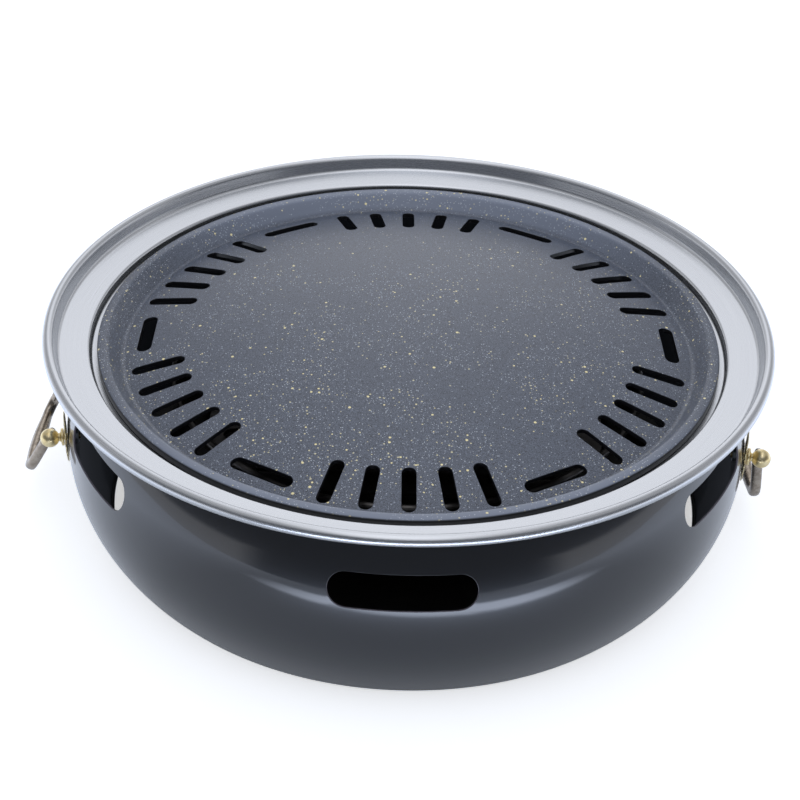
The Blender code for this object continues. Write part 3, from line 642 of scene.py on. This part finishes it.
bm, lip = new_wire(LIP_RADIUS, LIP_TOP)
well_foot = run_to(bm, lip, WELL_RADIUS, LIP_TOP, steps=2)
well_top = run_to(bm, well_foot, WELL_RADIUS, RING_FLOOR - WELL_EDGE)
edge_end = turn_about(bm, well_top, WELL_RADIUS + WELL_EDGE, RING_FLOOR - WELL_EDGE, 90.0, steps=6)
crease = run_to(bm, edge_end, CREASE_RADIUS, CREASE_HEIGHT, steps=6)
roll_up(bm, crease, (CREASE_RADIUS, CREASE_HEIGHT, 0.0), (BEAD_CENTRE, BEAD_HEIGHT), BEAD_RADIUS,
        steps=9)
round_corner(bm, crease, RING_BEND)
round_corner(bm, well_foot, RING_BEND)
spin_about_z(bm, 360.0, ROUND_STEPS)
finish_piece("rolled_drip_ring", bm, satin_steel, "ring", ["drip_ring"],
             wall=RING_SHEET, edge=SPUN_EDGE)

# %% [markdown]
# The plate's coating is a sprayed non-stick enamel: a dark blue-grey ground, a fine pale grain
# from the mica in it, and flecks that are spattered on before the last clear layer. Each fleck is
# the middle of a Voronoi cell that a second noise lets through or not, so the flecks come in
# patches, and a random size for each cell keeps them from looking printed. They thin out towards
# the back, except on the upturned rim. At the front and at the back the rim's grain gives way to a
# flat paler blue-grey, a painted sheen for the light that the rim catches there. Three sizes are
# laid over one another: fine pale grey, middling and large cream. The turned-down edge stays black.

# %% Finish: speckled non-stick
LARGE_FLECK = (3.5 * MM, 0.66 * MM, 0.30, "E4D9A6")     # cell, radius, share and colour
MIDDLE_FLECK = (2.0 * MM, 0.44 * MM, 0.46, "C9C3A2")
FINE_FLECK = (1.1 * MM, 0.28 * MM, 1.1, "A9B2C2")
SMALLEST = 0.45                             # radius of the smallest, against the largest
FLECK_PATCH = 26.0 * MM
PATCH_SPAN = (0.35, 0.68)                   # noise in a bare patch and in a full one,
PATCH_SHARES = (0.15, 1.6)                  # and how many flecks each has, against the average
FRONT_TO_BACK = (-110.0 * MM, 110.0 * MM)   # the flecks thin out between these two places,
THINNING = (1.15, 0.2)                      # from this to this share
RIM_SHEEN_AND_FLECKS = (128.0 * MM, 130.5 * MM)         # the rim, with more flecks and a painted sheen, starts from here to here, going out,
SHEEN_ENDS = (45.0 * MM, 125.0 * MM)         # and the painted sheen fades in from here to here, going to the front and back
BARE_EDGE = (138.6 * MM, 138.95 * MM)
GRAIN = 0.4 * MM
GRAIN_DEPTH = 0.02 * MM


def flecks(tree, place, on_rim, cell, radius, share):
    """A mask of spattered flecks: one in each Voronoi cell, kept in only a share of the cells."""
    cells = add(tree, "TexVoronoi", {"Vector": place, "Scale": 1.0 / cell}, feature="F1")
    chance = add(tree, "SeparateColor", {0: cells["Color"]})
    patch = noise(tree, place, FLECK_PATCH, 1.0)
    patch = remap(tree, patch, *PATCH_SPAN, *(part * share for part in PATCH_SHARES))
    depth = add(tree, "SeparateXYZ", {0: place})[1]
    thinned = calc(tree, "MAXIMUM", remap(tree, depth, *FRONT_TO_BACK, *THINNING), on_rim)
    kept = calc(tree, "LESS_THAN", chance[0], calc(tree, "MULTIPLY", patch, thinned))
    size = remap(tree, chance[1], 0.0, 1.0, SMALLEST * radius / cell, radius / cell)
    inside = calc(tree, "LESS_THAN", cells["Distance"], size)
    return calc(tree, "MULTIPLY", kept, inside)


coating, tree, shader = new_finish("sprayed_speckled_non_stick", {
    "IOR": 1.5, "Coat Weight": 0.35, "Coat Roughness": 0.3})
place = own_place(tree)
grain = noise(tree, place, GRAIN, 2.0)
flat = vector(tree, "MULTIPLY", place, (1.0, 1.0, 0.0))
away = vector(tree, "LENGTH", flat)
on_rim = ease(tree, away, *RIM_SHEEN_AND_FLECKS)
depth = calc(tree, "ABSOLUTE", add(tree, "SeparateXYZ", {0: flat})[1])
# painted sheen: the rim is a flat paler blue-grey at the front and back, where it catches the light
painted_sheen = calc(tree, "MULTIPLY", on_rim, ease(tree, depth, *SHEEN_ENDS))
spotted = mix(tree, painted_sheen, two_tones(tree, grain, 0.36, "1E2432", 0.64, "5E687C"), srgb("6C768B"))
for cell, radius, share, colour in (FINE_FLECK, MIDDLE_FLECK, LARGE_FLECK):
    spotted = mix(tree, flecks(tree, place, on_rim, cell, radius, share), spotted, srgb(colour))
plug(tree, shader, {
    "Base Color": mix(tree, remap(tree, away, *BARE_EDGE), spotted, srgb("101114")),
    "Roughness": remap(tree, grain, *NOISE_SPAN, 0.36, 0.46),
    "Normal": bumps(tree, grain, 0.5, GRAIN_DEPTH)})
bare_edge = new_finish("black_cut_edges_of_the_plate", {
    "Base Color": srgb("121317"), "Roughness": 0.3})[0]
print("flecks up to", round(2.0 * LARGE_FLECK[1] / MM, 2), "mm across")

# %% [markdown]
# The grill plate is a pressed disc: a very low dome, a rounded fold, a short slope up to a flat
# land, and a turned-down edge that rests on the ring's lip. Slots near its edge let the fat and
# some smoke through. One sixth of it has five slots that point to the middle and one across, so
# that sixth is made and turned six times. The slots are drawn flat and then lifted to the dome.

# %% Grill plate
PLATE_RADIUS = 139.0 * MM
RIM_DEPTH = 3.4 * MM
RIM_BEND = 0.8 * MM
LAND_RADIUS = 134.5 * MM
LAND_BEND = 1.2 * MM
FOLD_RADIUS = 128.5 * MM
FOLD_BEND = 1.4 * MM
FOLD_DROP = 7.8 * MM
CROWN = 13.5 * MM
PLATE_SHEET = 2.2 * MM
PLATE_TURN_DEG = 0.75
SECTOR_START_DEG = 10
SLOT_GROUPS = 6
SLOTS_IN_GROUP = 5
SLOT_STEP_DEG = 8
SLOT_SIZE = (23.4 * MM, 5.8 * MM)
SLOT_OUTER = 125.0 * MM
SLOT_ROWS = 14
SLOT_BLOCK_DEG = 3.0                    # half the angle of the grid's gap that takes a slot,
SLOT_BLOCK = (98.8 * MM, 126.8 * MM)    # and the radii between which the gap lies
CROSS_SIZE = (29.0 * MM, 6.4 * MM)
CROSS_RADIUS = 118.4 * MM
CROSS_BLOCK_DEG = 9.0
CROSS_BLOCK = (112.7 * MM, 124.9 * MM)

plate_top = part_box("grill_plate")[1].z
dome_radius = (FOLD_RADIUS ** 2 + CROWN ** 2) / (2.0 * CROWN)
dome_centre = plate_top - dome_radius
land_height = plate_top - CROWN + FOLD_DROP


def dome_deg(radius):
    return math.degrees(math.asin(radius / dome_radius))


def lift_to_dome(points):
    for vert in points:
        vert.co.z = dome_centre + math.sqrt(dome_radius ** 2 - vert.co.xy.length_squared)


def cut_slot(bm, middle_deg, middle_radius, size, block_deg, block, turn_deg=0.0):
    """Open a block of the dome's faces and bridge a slot's outline into it."""
    rim = open_sector(bm, middle_deg, block_deg, block)
    wire = slot_wire(bm, *size, len(rim))
    points = ends_of(wire)
    turn = Matrix.Rotation(math.radians(middle_deg), 4, "Z")
    place = turn @ Matrix.Translation((middle_radius, 0.0, 0.0))
    along = Matrix.Rotation(math.radians(turn_deg), 4, "Z")
    bmesh.ops.transform(bm, matrix=place @ along, verts=points)
    lift_to_dome(points)
    lift_to_dome(bridge_hole(bm, rim, wire, rings=2))


bm, pole = new_wire(0.0, plate_top)
inner_deg, outer_deg = (dome_deg(radius) for radius in SLOT_BLOCK)
inner = turn_about(bm, pole, 0.0, dome_centre, inner_deg, steps=20)
outer = turn_about(bm, inner, 0.0, dome_centre, outer_deg - inner_deg, SLOT_ROWS)
fold = run_to(bm, outer, FOLD_RADIUS, plate_top - CROWN)
land_in = run_to(bm, fold, LAND_RADIUS, land_height, steps=2)
land_out = run_to(bm, land_in, PLATE_RADIUS, land_height, steps=2)
run_to(bm, land_out, PLATE_RADIUS, land_height - RIM_DEPTH, steps=2)
round_corner(bm, fold, FOLD_BEND, steps=5)
round_corner(bm, land_in, LAND_BEND)
round_corner(bm, land_out, RIM_BEND)
spin_about_z(bm, 360.0 / SLOT_GROUPS, steps=60)
turn_all(bm, -SECTOR_START_DEG)
cut_slot(bm, 0.0, CROSS_RADIUS, CROSS_SIZE, CROSS_BLOCK_DEG, CROSS_BLOCK, turn_deg=90.0)
for index in range(SLOTS_IN_GROUP):
    middle = 180.0 / SLOT_GROUPS + (index - SLOTS_IN_GROUP // 2) * SLOT_STEP_DEG
    cut_slot(bm, middle, SLOT_OUTER - SLOT_SIZE[0] / 2.0, SLOT_SIZE, SLOT_BLOCK_DEG, SLOT_BLOCK)
spin_about_z(bm, 360.0 - 360.0 / SLOT_GROUPS, SLOT_GROUPS - 1, copies=True)
turn_all(bm, PLATE_TURN_DEG)
finish_piece("domed_grill_plate", bm, coating, "plate", ["grill_plate"],
             wall=PLATE_SHEET, edge=0.45 * MM, cut_finish=bare_edge)

# %% [markdown]
# Under the plate hangs the charcoal pan, spun from the same stainless sheet with a small rolled
# rim and a ring of air holes in its floor. Heat has browned and dulled its steel, and its darker
# colour is also painted shade, for the dark inside of the shell, so it gets its own darker and
# rougher finish.

# %% Charcoal pan
PAN_FLOOR = 22.5 * MM
PAN_BEND = (81.93 * MM, 30.5 * MM, 8.0 * MM)
PAN_BEAD = (106.0 * MM, 68.8 * MM)
PAN_BEAD_RADIUS = 1.6 * MM
PAN_SHEET = 0.9 * MM
AIR_HOLES = 12
AIR_HOLE_RADIUS = 3.0 * MM
AIR_HOLE_CIRCLE = 48.0 * MM
AIR_BLOCK_DEG = 7.5
AIR_BLOCK = (42.0 * MM, 54.0 * MM)

# darker than clean steel: dulled by heat, and darkened further as painted shade of the dark inside
heat_dulled_steel_with_painted_shade = brushed_steel("heat_dulled_stainless_steel_darkened_as_painted_shade", "615F5E", 0.42, 0.08)
bm, end = new_wire(0.0, PAN_FLOOR)
for radius, steps in ((AIR_BLOCK[0], 6), (AIR_BLOCK[1], 6), (PAN_BEND[0], 4)):
    end = run_to(bm, end, radius, PAN_FLOOR, steps)
roll_up(bm, end, PAN_BEND, PAN_BEAD, PAN_BEAD_RADIUS, steps=6)
sector = 360.0 / AIR_HOLES
spin_about_z(bm, sector, steps=12)
rim = open_sector(bm, sector / 2.0, AIR_BLOCK_DEG, AIR_BLOCK)
place = Matrix.Rotation(math.radians(sector / 2.0), 4, "Z") @ Matrix.Translation(
    (AIR_HOLE_CIRCLE, 0.0, PAN_FLOOR))
known = set(bm.edges)
bmesh.ops.create_circle(bm, segments=len(rim), radius=AIR_HOLE_RADIUS, matrix=place)
bridge_hole(bm, rim, [edge for edge in bm.edges if edge not in known], rings=2)
spin_about_z(bm, 360.0 - sector, AIR_HOLES - 1, copies=True)
turn_all(bm, -sector / 2.0)
finish_piece("rolled_charcoal_pan", bm, heat_dulled_steel_with_painted_shade, "pan", ["charcoal_pan"],
             wall=PAN_SHEET, edge=SPUN_EDGE)

# %% [markdown]
# The grate that carries the charcoal is a flat disc with long parallel slots, punched in one
# stroke. It's drawn as wires only, a circle and a row of slots that end where the rim begins,
# and filling between them gives the face in one step.

# %% Charcoal grate
GRATE_UNDERSIDE = 36.0 * MM
GRATE_SHEET = 2.0 * MM
GRATE_RIM = 6.0 * MM
GRATE_SLOT = 9.0 * MM
GRATE_PITCH = 15.0 * MM

bm = bmesh.new()
grate_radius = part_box("charcoal_grate")[1].y
bmesh.ops.create_circle(bm, segments=160, radius=grate_radius)
slot_reach = grate_radius - GRATE_RIM
beside = int((slot_reach - GRATE_SLOT) / GRATE_PITCH)
for index in range(-beside, beside + 1):
    edge_y = abs(index) * GRATE_PITCH + GRATE_SLOT / 2.0
    length = 2.0 * math.sqrt(slot_reach ** 2 - edge_y ** 2)
    points = ends_of(slot_wire(bm, length, GRATE_SLOT, count=40))
    bmesh.ops.translate(bm, verts=points, vec=(0.0, index * GRATE_PITCH, 0.0))
bmesh.ops.triangle_fill(bm, edges=bm.edges[:], use_beauty=True, normal=Z_AXIS)
bmesh.ops.translate(bm, verts=bm.verts, vec=(0.0, 0.0, GRATE_UNDERSIDE + GRATE_SHEET))
finish_piece("punched_charcoal_grate", bm, heat_dulled_steel_with_painted_shade, "grate", ["charcoal_grate"],
             wall=GRATE_SHEET, edge=0.3 * MM)

# %% [markdown]
# The tray under the pan and the four tongues that hold it are coated with the flat black,
# heat-resisting enamel that stoves have: a plain rough black with a fine orange peel. The
# tongues' plain solids have the right shape and only change their finish.

# %% Finish: matt black stove enamel
STOVE_GRAIN = 0.6 * MM

matt_black, tree, shader = new_finish("matt_black_stove_enamel", {"Specular IOR Level": 0.4})
peel = noise(tree, own_place(tree), STOVE_GRAIN, 2.0)
plug(tree, shader, {
    "Base Color": two_tones(tree, peel, 0.0, "1B1B1C", 1.0, "232325"),
    "Roughness": remap(tree, peel, 0.0, 1.0, 0.5, 0.62),
    "Normal": bumps(tree, peel, 0.5, GRAIN_DEPTH)})
for number in range(1, 5):
    for place_in in bpy.data.objects[f"tray_clip_{number}"].material_slots:
        place_in.material = matt_black
print("stove enamel on the tray's four tongues")

# %% [markdown]
# The base tray closes the shell from below and keeps ash and heat off the table. It's a shallow
# pressing with a flat rim, drawn as the upper face of its sheet.

# %% Base tray
TRAY_RADII = (117.05 * MM, 121.55 * MM, 131.05 * MM)     # where floor, wall and rim end
TRAY_TOP = 13.0 * MM
TRAY_SHEET = 0.8 * MM
TRAY_BEND = 2.0 * MM

bm, middle = new_wire(0.0, TRAY_SHEET)
wall_foot = run_to(bm, middle, TRAY_RADII[0], TRAY_SHEET, steps=8)
wall_top = run_to(bm, wall_foot, TRAY_RADII[1], TRAY_TOP, steps=3)
run_to(bm, wall_top, TRAY_RADII[2], TRAY_TOP, steps=2)
round_corner(bm, wall_foot, TRAY_BEND)
round_corner(bm, wall_top, TRAY_BEND)
spin_about_z(bm, 360.0, steps=160)
finish_piece("pressed_base_tray", bm, matt_black, "shell", ["base_tray"],
             wall=TRAY_SHEET, edge=SPUN_EDGE)

# %% [markdown]
# Brass is copper and zinc. The ball posts are polished and clear-lacquered, so they keep a pale
# gold; the bails and rosettes are the same metal, browned in a bath and rubbed back, the rosettes
# more than the bails. One function makes all three, from two colours that a soft noise blends,
# because a patina is never even.

# %% Finishes: polished and aged brass
PATINA_PATCH = 2.2 * MM
PATINA_DEPTH = 0.01 * MM


def brass(name, dull, bright, roughness, spread):
    """Brass with soft patches: duller and rougher in some, brighter and smoother in others."""
    metal, tree, shader = new_finish(name, {"Metallic": 1.0})
    cloud = noise(tree, own_place(tree), PATINA_PATCH, 4.0)
    plug(tree, shader, {
        "Base Color": two_tones(tree, cloud, 0.35, dull, 0.68, bright),
        "Roughness": remap(tree, cloud, *NOISE_SPAN, roughness + spread, roughness - spread),
        "Normal": bumps(tree, cloud, 0.3, PATINA_DEPTH)})
    return metal


gold_brass = brass("lacquered_polished_brass", "E0CA94", "F4E6BC", 0.3, 0.04)
pale_brass = brass("rubbed_brass_stamping", "B8A478", "E8DBB0", 0.27, 0.05)
brown_brass = brass("browned_and_rubbed_brass", "978C80", "B0A699", 0.28, 0.05)
print("three brasses, patina patches", PATINA_PATCH / MM, "mm")

# %% [markdown]
# Small turned pieces share one recipe: a wire round half of the section, spun a full turn about
# Z, and then laid where the piece sits. Four posts stand round the belly, two for each bail, and
# each one's own Z points straight out of the barrel.

# %% Small turned pieces and the posts' places
PIVOT_HEIGHT = 45.6 * MM
BALL_STANDOFF = 7.797 * MM
POST_HALF_SPACING = 32.6 * MM
OUTWARD = Matrix(((0, 0, 1, 0), (1, 0, 0, 0), (0, 1, 0, 0), (0, 0, 0, 1)))     # lays Z along X


def turned_piece(name, points, finish, body, node, place, edge, steps=40):
    """A solid turned from (radius, height) points, moved to its place on the grill."""
    bm, first = new_wire(*points[0])
    vert = first
    for radius, height in points[1:]:
        vert = run_to(bm, vert, radius, height)
    if points[0][0] > 0.0:
        bm.edges.new((vert, first))
    spin_about_z(bm, 360.0, steps)
    bm.transform(place)
    finish_piece(name, bm, finish, body, [node], edge=edge)


post_reach = BELLY_RADIUS + BALL_STANDOFF
spread = math.asin(POST_HALF_SPACING / post_reach)
post_places = {}
for side, middle in (("left", math.pi), ("right", 0.0)):
    for end, sign in (("front", -1.0), ("back", 1.0)):
        angle = middle + sign * spread * math.cos(middle)
        out = Matrix.Translation((post_reach, 0.0, PIVOT_HEIGHT)) @ OUTWARD
        post_places[side + "_" + end] = Matrix.Rotation(angle, 4, "Z") @ out
print("posts at", {name: [round(size / MM, 1) for size in place.translation]
                   for name, place in post_places.items()})

# %% [markdown]
# A ball post is one turned piece of brass: ball, hollowed neck, collar, and a shank that goes
# through the rosette and the shell. Heights count from the ball's middle, out of the barrel.

# %% Ball posts
BALL_RADIUS = 4.3 * MM
STEM_RADIUS = 1.9 * MM
STEM_FLARE = 1.1 * MM
COLLAR_RADIUS = 4.0 * MM
COLLAR_THICKNESS = 1.2 * MM
COLLAR_SEAT = 1.6 * MM
COLLAR_ROUNDING = 0.45 * MM
COLLAR_UNDERCUT = 0.3 * MM
SHANK_RADIUS = 1.5 * MM
WASHER_SEAT = SHELL_WALL + 0.6 * MM     # the flat washer stands off the curved wall
WASHER_THICKNESS = 0.8 * MM
NUT_GAP = 0.3 * MM
NUT_THICKNESS = 2.4 * MM
SHANK_STUB = 0.8 * MM                   # how far the shank stands out of its nut

washer_high = -BALL_STANDOFF - WASHER_SEAT
washer_low = washer_high - WASHER_THICKNESS
nut_high = washer_low - NUT_GAP
nut_low = nut_high - NUT_THICKNESS
shank_end = nut_low - SHANK_STUB
collar_low = COLLAR_SEAT - BALL_STANDOFF
collar_high = collar_low + COLLAR_THICKNESS
start_deg = math.degrees(math.acos(STEM_RADIUS / BALL_RADIUS))
for name, place in post_places.items():
    bm, vert = new_wire(0.0, shank_end)
    for radius, height in ((SHANK_RADIUS, shank_end), (SHANK_RADIUS, collar_low),
                           (COLLAR_RADIUS, collar_low)):
        vert = run_to(bm, vert, radius, height)
    rim = run_to(bm, vert, COLLAR_RADIUS, collar_high)
    flare = run_to(bm, rim, STEM_RADIUS + STEM_FLARE, collar_high)
    turn_about(bm, flare, STEM_RADIUS + STEM_FLARE, collar_high + STEM_FLARE, 90.0, steps=6)
    ball = bm.verts.new((STEM_RADIUS, 0.0, -math.sqrt(BALL_RADIUS ** 2 - STEM_RADIUS ** 2)))
    turn_about(bm, ball, 0.0, 0.0, -(90.0 + start_deg), steps=20)
    round_corner(bm, rim, COLLAR_ROUNDING)
    round_corner(bm, vert, COLLAR_UNDERCUT)
    spin_about_z(bm, 360.0, steps=48)
    bm.transform(place)
    finish_piece("ball_post_" + name, bm, gold_brass, "shell", ["handle_post_" + name])

# %% [markdown]
# The rosette is a thin brass stamping with eight petals round an oval, the top and bottom ones
# drawn out to points. Its face is a grid bent round into a ring: one direction goes round the
# outline, the other goes out from the hole, and its height is the stamped relief.

# %% Rosettes
ROSETTE_SHEET = 0.45 * MM
ROSETTE_RELIEF = 0.5 * MM
ROSETTE_HALF_HEIGHT = 13.5 * MM
ROSETTE_HALF_WIDTH = 9.8 * MM
ROSETTE_BACK = 0.3 * MM - BALL_STANDOFF
PETALS = 8
NOTCH_SHARE = 0.16
NOTCH_RELIEF = 0.25         # relief between two petals, against the petals' own
POINT_SHARE = 0.18
TIP_POWER = 8
HOLE_SHARE = 0.2


def on_rosette(across, out):
    """Place on the stamped face: across runs 0 to 1 round it, out runs from hole to outline."""
    angle = 2.0 * math.pi * across
    petal = abs(math.cos(PETALS / 2.0 * angle))
    notch = 1.0 - NOTCH_SHARE * (1.0 - petal) * out ** 2
    drawn = 1.0 - POINT_SHARE * (1.0 - abs(math.sin(angle)) ** TIP_POWER)
    share = HOLE_SHARE + (1.0 - HOLE_SHARE) * out
    lobe = NOTCH_RELIEF + (1.0 - NOTCH_RELIEF) * petal ** 0.7
    lobe *= math.sin(math.pi * min(1.0, out * 1.1))
    return Vector((ROSETTE_HALF_WIDTH * math.cos(angle) * notch * share,
                   ROSETTE_HALF_HEIGHT * math.sin(angle) * notch * drawn * share,
                   ROSETTE_BACK + ROSETTE_SHEET + ROSETTE_RELIEF * lobe))


for name, place in post_places.items():
    bm = bmesh.new()
    bmesh.ops.create_grid(bm, x_segments=128, y_segments=14, size=0.5)
    for vert in bm.verts:
        vert.co = on_rosette(vert.co.x + 0.5, vert.co.y + 0.5)
    bm.transform(place)
    finish_piece("rosette_" + name, bm, pale_brass, "shell", ["handle_plate_" + name],
                 wall=ROSETTE_SHEET, edge=0.1 * MM)

# %% [markdown]
# A bail is a cast bar: thin pins that turn in the balls, short legs and a thicker, slightly bowed
# grip. Its centre line is drawn as arcs and straights, and a squarish section with soft ridges
# is drawn out along it, as a long tube of faces that is moved, turned and scaled at each step.

# %% Bails
PIN_RADIUS = 1.3 * MM
PIN_END = 33.1 * MM
LEG_PLACE = 25.4 * MM
LEG_RADIUS = 2.5 * MM
ELBOW_RADIUS = 2.4 * MM
ELBOW_THICKNESS = 1.8 * MM
ELBOW_TAPER = 3.0 * MM
CORNER_RADIUS = 8.0 * MM
GRIP_RADIUS = 3.2 * MM
GRIP_DROP = 28.0 * MM
GRIP_BOW = 0.8 * MM
LEFT_SWING_DEG = 29.5
RIGHT_SWING_DEG = -5.0
SECTION_POINTS = 24
SECTION_POWER = 2.7
HALF_STEPS = 12
TAPER_STEPS = 4


def half_bail():
    """Centre line from a pin's end to the grip's middle, as (along, drop, thickness)."""
    points = [(PIN_END, 0.0, PIN_RADIUS), (LEG_PLACE + 1.5 * ELBOW_RADIUS, 0.0, PIN_RADIUS)]
    turns = [math.pi / 2.0 * step / HALF_STEPS for step in range(HALF_STEPS + 1)]
    for turn in turns:
        thickness = PIN_RADIUS + (ELBOW_THICKNESS - PIN_RADIUS) * turn / turns[-1]
        points.append((LEG_PLACE + ELBOW_RADIUS * (1.0 - math.sin(turn)),
                       -ELBOW_RADIUS * (1.0 - math.cos(turn)), thickness))
    for step in range(1, TAPER_STEPS + 1):
        share = math.sin(math.pi / 2.0 * step / TAPER_STEPS)
        thickness = ELBOW_THICKNESS + (LEG_RADIUS - ELBOW_THICKNESS) * share
        points.append((LEG_PLACE, -ELBOW_RADIUS - ELBOW_TAPER * step / TAPER_STEPS, thickness))
    for turn in turns:
        points.append((LEG_PLACE - CORNER_RADIUS * (1.0 - math.cos(turn)),
                       -GRIP_DROP + CORNER_RADIUS * (1.0 - math.sin(turn)), LEG_RADIUS))
    for turn in turns[1:]:
        share = math.sin(turn)
        points.append(((LEG_PLACE - CORNER_RADIUS) * (1.0 - turn / turns[-1]),
                       -GRIP_DROP - GRIP_BOW * share,
                       LEG_RADIUS + (GRIP_RADIUS - LEG_RADIUS) * share))
    return points


def soft_square(angle):
    """Radius of a squarish section with soft ridges, for a half width of about one."""
    return 0.95 / (abs(math.cos(angle)) ** SECTION_POWER
                   + abs(math.sin(angle)) ** SECTION_POWER) ** (1.0 / SECTION_POWER)


def make_bail(name, side, swing_deg, body):
    half = half_bail()
    line = half + [(-along, drop, thickness) for along, drop, thickness in half[-2::-1]]
    frames = []
    for index, (along, drop, thickness) in enumerate(line):
        before = line[max(index - 1, 0)]
        after = line[min(index + 1, len(line) - 1)]
        lean = math.atan2(after[1] - before[1], after[0] - before[0])
        frames.append(Matrix.Translation((0.0, along, drop))
                      @ Matrix.Rotation(lean, 4, "X") @ Matrix.Scale(thickness, 4))
    bm = bmesh.new()
    made = bmesh.ops.create_circle(bm, segments=SECTION_POINTS, radius=1.0, cap_ends=True)
    for vert in made["verts"]:
        angle = math.atan2(vert.co.y, vert.co.x)
        reach = soft_square(angle)
        vert.co = frames[0] @ Vector((reach * math.cos(angle), 0.0, reach * math.sin(angle)))
    loop = bm.edges[:]
    for frame_before, frame_now in zip(frames, frames[1:]):
        made = bmesh.ops.extrude_edge_only(bm, edges=loop)["geom"]
        loop = [part for part in made if isinstance(part, bmesh.types.BMEdge)
                and all(vert in made for vert in part.verts)]
        points = [part for part in made if isinstance(part, bmesh.types.BMVert)]
        bmesh.ops.transform(bm, matrix=frame_now @ frame_before.inverted(), verts=points)
    bmesh.ops.contextual_create(bm, geom=loop)
    hinge = Matrix.Translation((side * hinge_reach, 0.0, PIVOT_HEIGHT))
    bm.transform(hinge @ Matrix.Rotation(math.radians(swing_deg), 4, "Y"))
    finish_piece(name, bm, brown_brass, body, [body], edge=0.15 * MM)


hinge_reach = math.sqrt(post_reach ** 2 - POST_HALF_SPACING ** 2)
make_bail("left_cast_bail", -1.0, LEFT_SWING_DEG, "left_bail")
make_bail("right_cast_bail", 1.0, RIGHT_SWING_DEG, "right_bail")

# %% [markdown]
# Inside, plated steel screws, washers and nuts hold it all together. Zinc plating is a bluish
# grey with a slight bloom, so its roughness follows a fine noise. The feet are stainless, turned
# from bar; each has a bore that its screw enters from above.

# %% Feet, screws, washers and nuts
ZINC_BLOOM = 0.8 * MM
FOOT_RADIUS = 5.5 * MM
FOOT_BORE = 1.7 * MM
FOOT_BORE_END = 9.3 * MM
SCREW_RADIUS = 1.5 * MM
HEAD_RADIUS = 3.5 * MM
HEAD_HEIGHT = 1.8 * MM
HEAD_SIDE = 0.8 * MM
HEAD_TOP = 2.2 * MM
WASHER_RADII = (1.8 * MM, 4.0 * MM)     # of the bore and of the outside
NUT_RADII = (1.963 * MM, 3.1 * MM)      # the same, at the six corners

zinc, tree, shader = new_finish("zinc_plated_steel", {"Base Color": srgb("BFC3C8"), "Metallic": 1.0})
bloom = noise(tree, own_place(tree), ZINC_BLOOM, 2.0)
plug(tree, shader, {"Roughness": remap(tree, bloom, *NOISE_SPAN, 0.28, 0.42)})

for number in range(1, 5):
    low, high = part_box(f"pan_foot_{number}")
    place = Matrix.Translation(((low.x + high.x) / 2.0, (low.y + high.y) / 2.0, 0.0))
    points = [(0.0, low.z), (FOOT_RADIUS, low.z), (FOOT_RADIUS, high.z), (FOOT_BORE, high.z),
              (FOOT_BORE, FOOT_BORE_END), (0.0, FOOT_BORE_END)]
    turned_piece(f"turned_foot_{number}", points, heat_dulled_steel_with_painted_shade, "pan", f"pan_foot_{number}",
                 place, edge=0.4 * MM)
    low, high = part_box(f"pan_foot_screw_{number}")
    seat = high.z - HEAD_HEIGHT
    points = [(0.0, low.z), (SCREW_RADIUS, low.z), (SCREW_RADIUS, seat), (HEAD_RADIUS, seat),
              (HEAD_RADIUS, seat + HEAD_SIDE), (HEAD_TOP, high.z), (0.0, high.z)]
    turned_piece(f"pan_head_screw_{number}", points, zinc, "pan", f"pan_foot_screw_{number}",
                 place, edge=0.35 * MM)

for name, place in post_places.items():
    for piece, node, (bore, outside), low, high, edge, steps in (
            ("flat_washer_", "post_washer_", WASHER_RADII, washer_low, washer_high, 0.12 * MM, 40),
            ("hex_nut_", "post_nut_", NUT_RADII, nut_low, nut_high, 0.25 * MM, 6)):
        points = [(bore, low), (outside, low), (outside, high), (bore, high)]
        turned_piece(piece + name, points, zinc, "shell", node + name, place,
                     edge, steps)
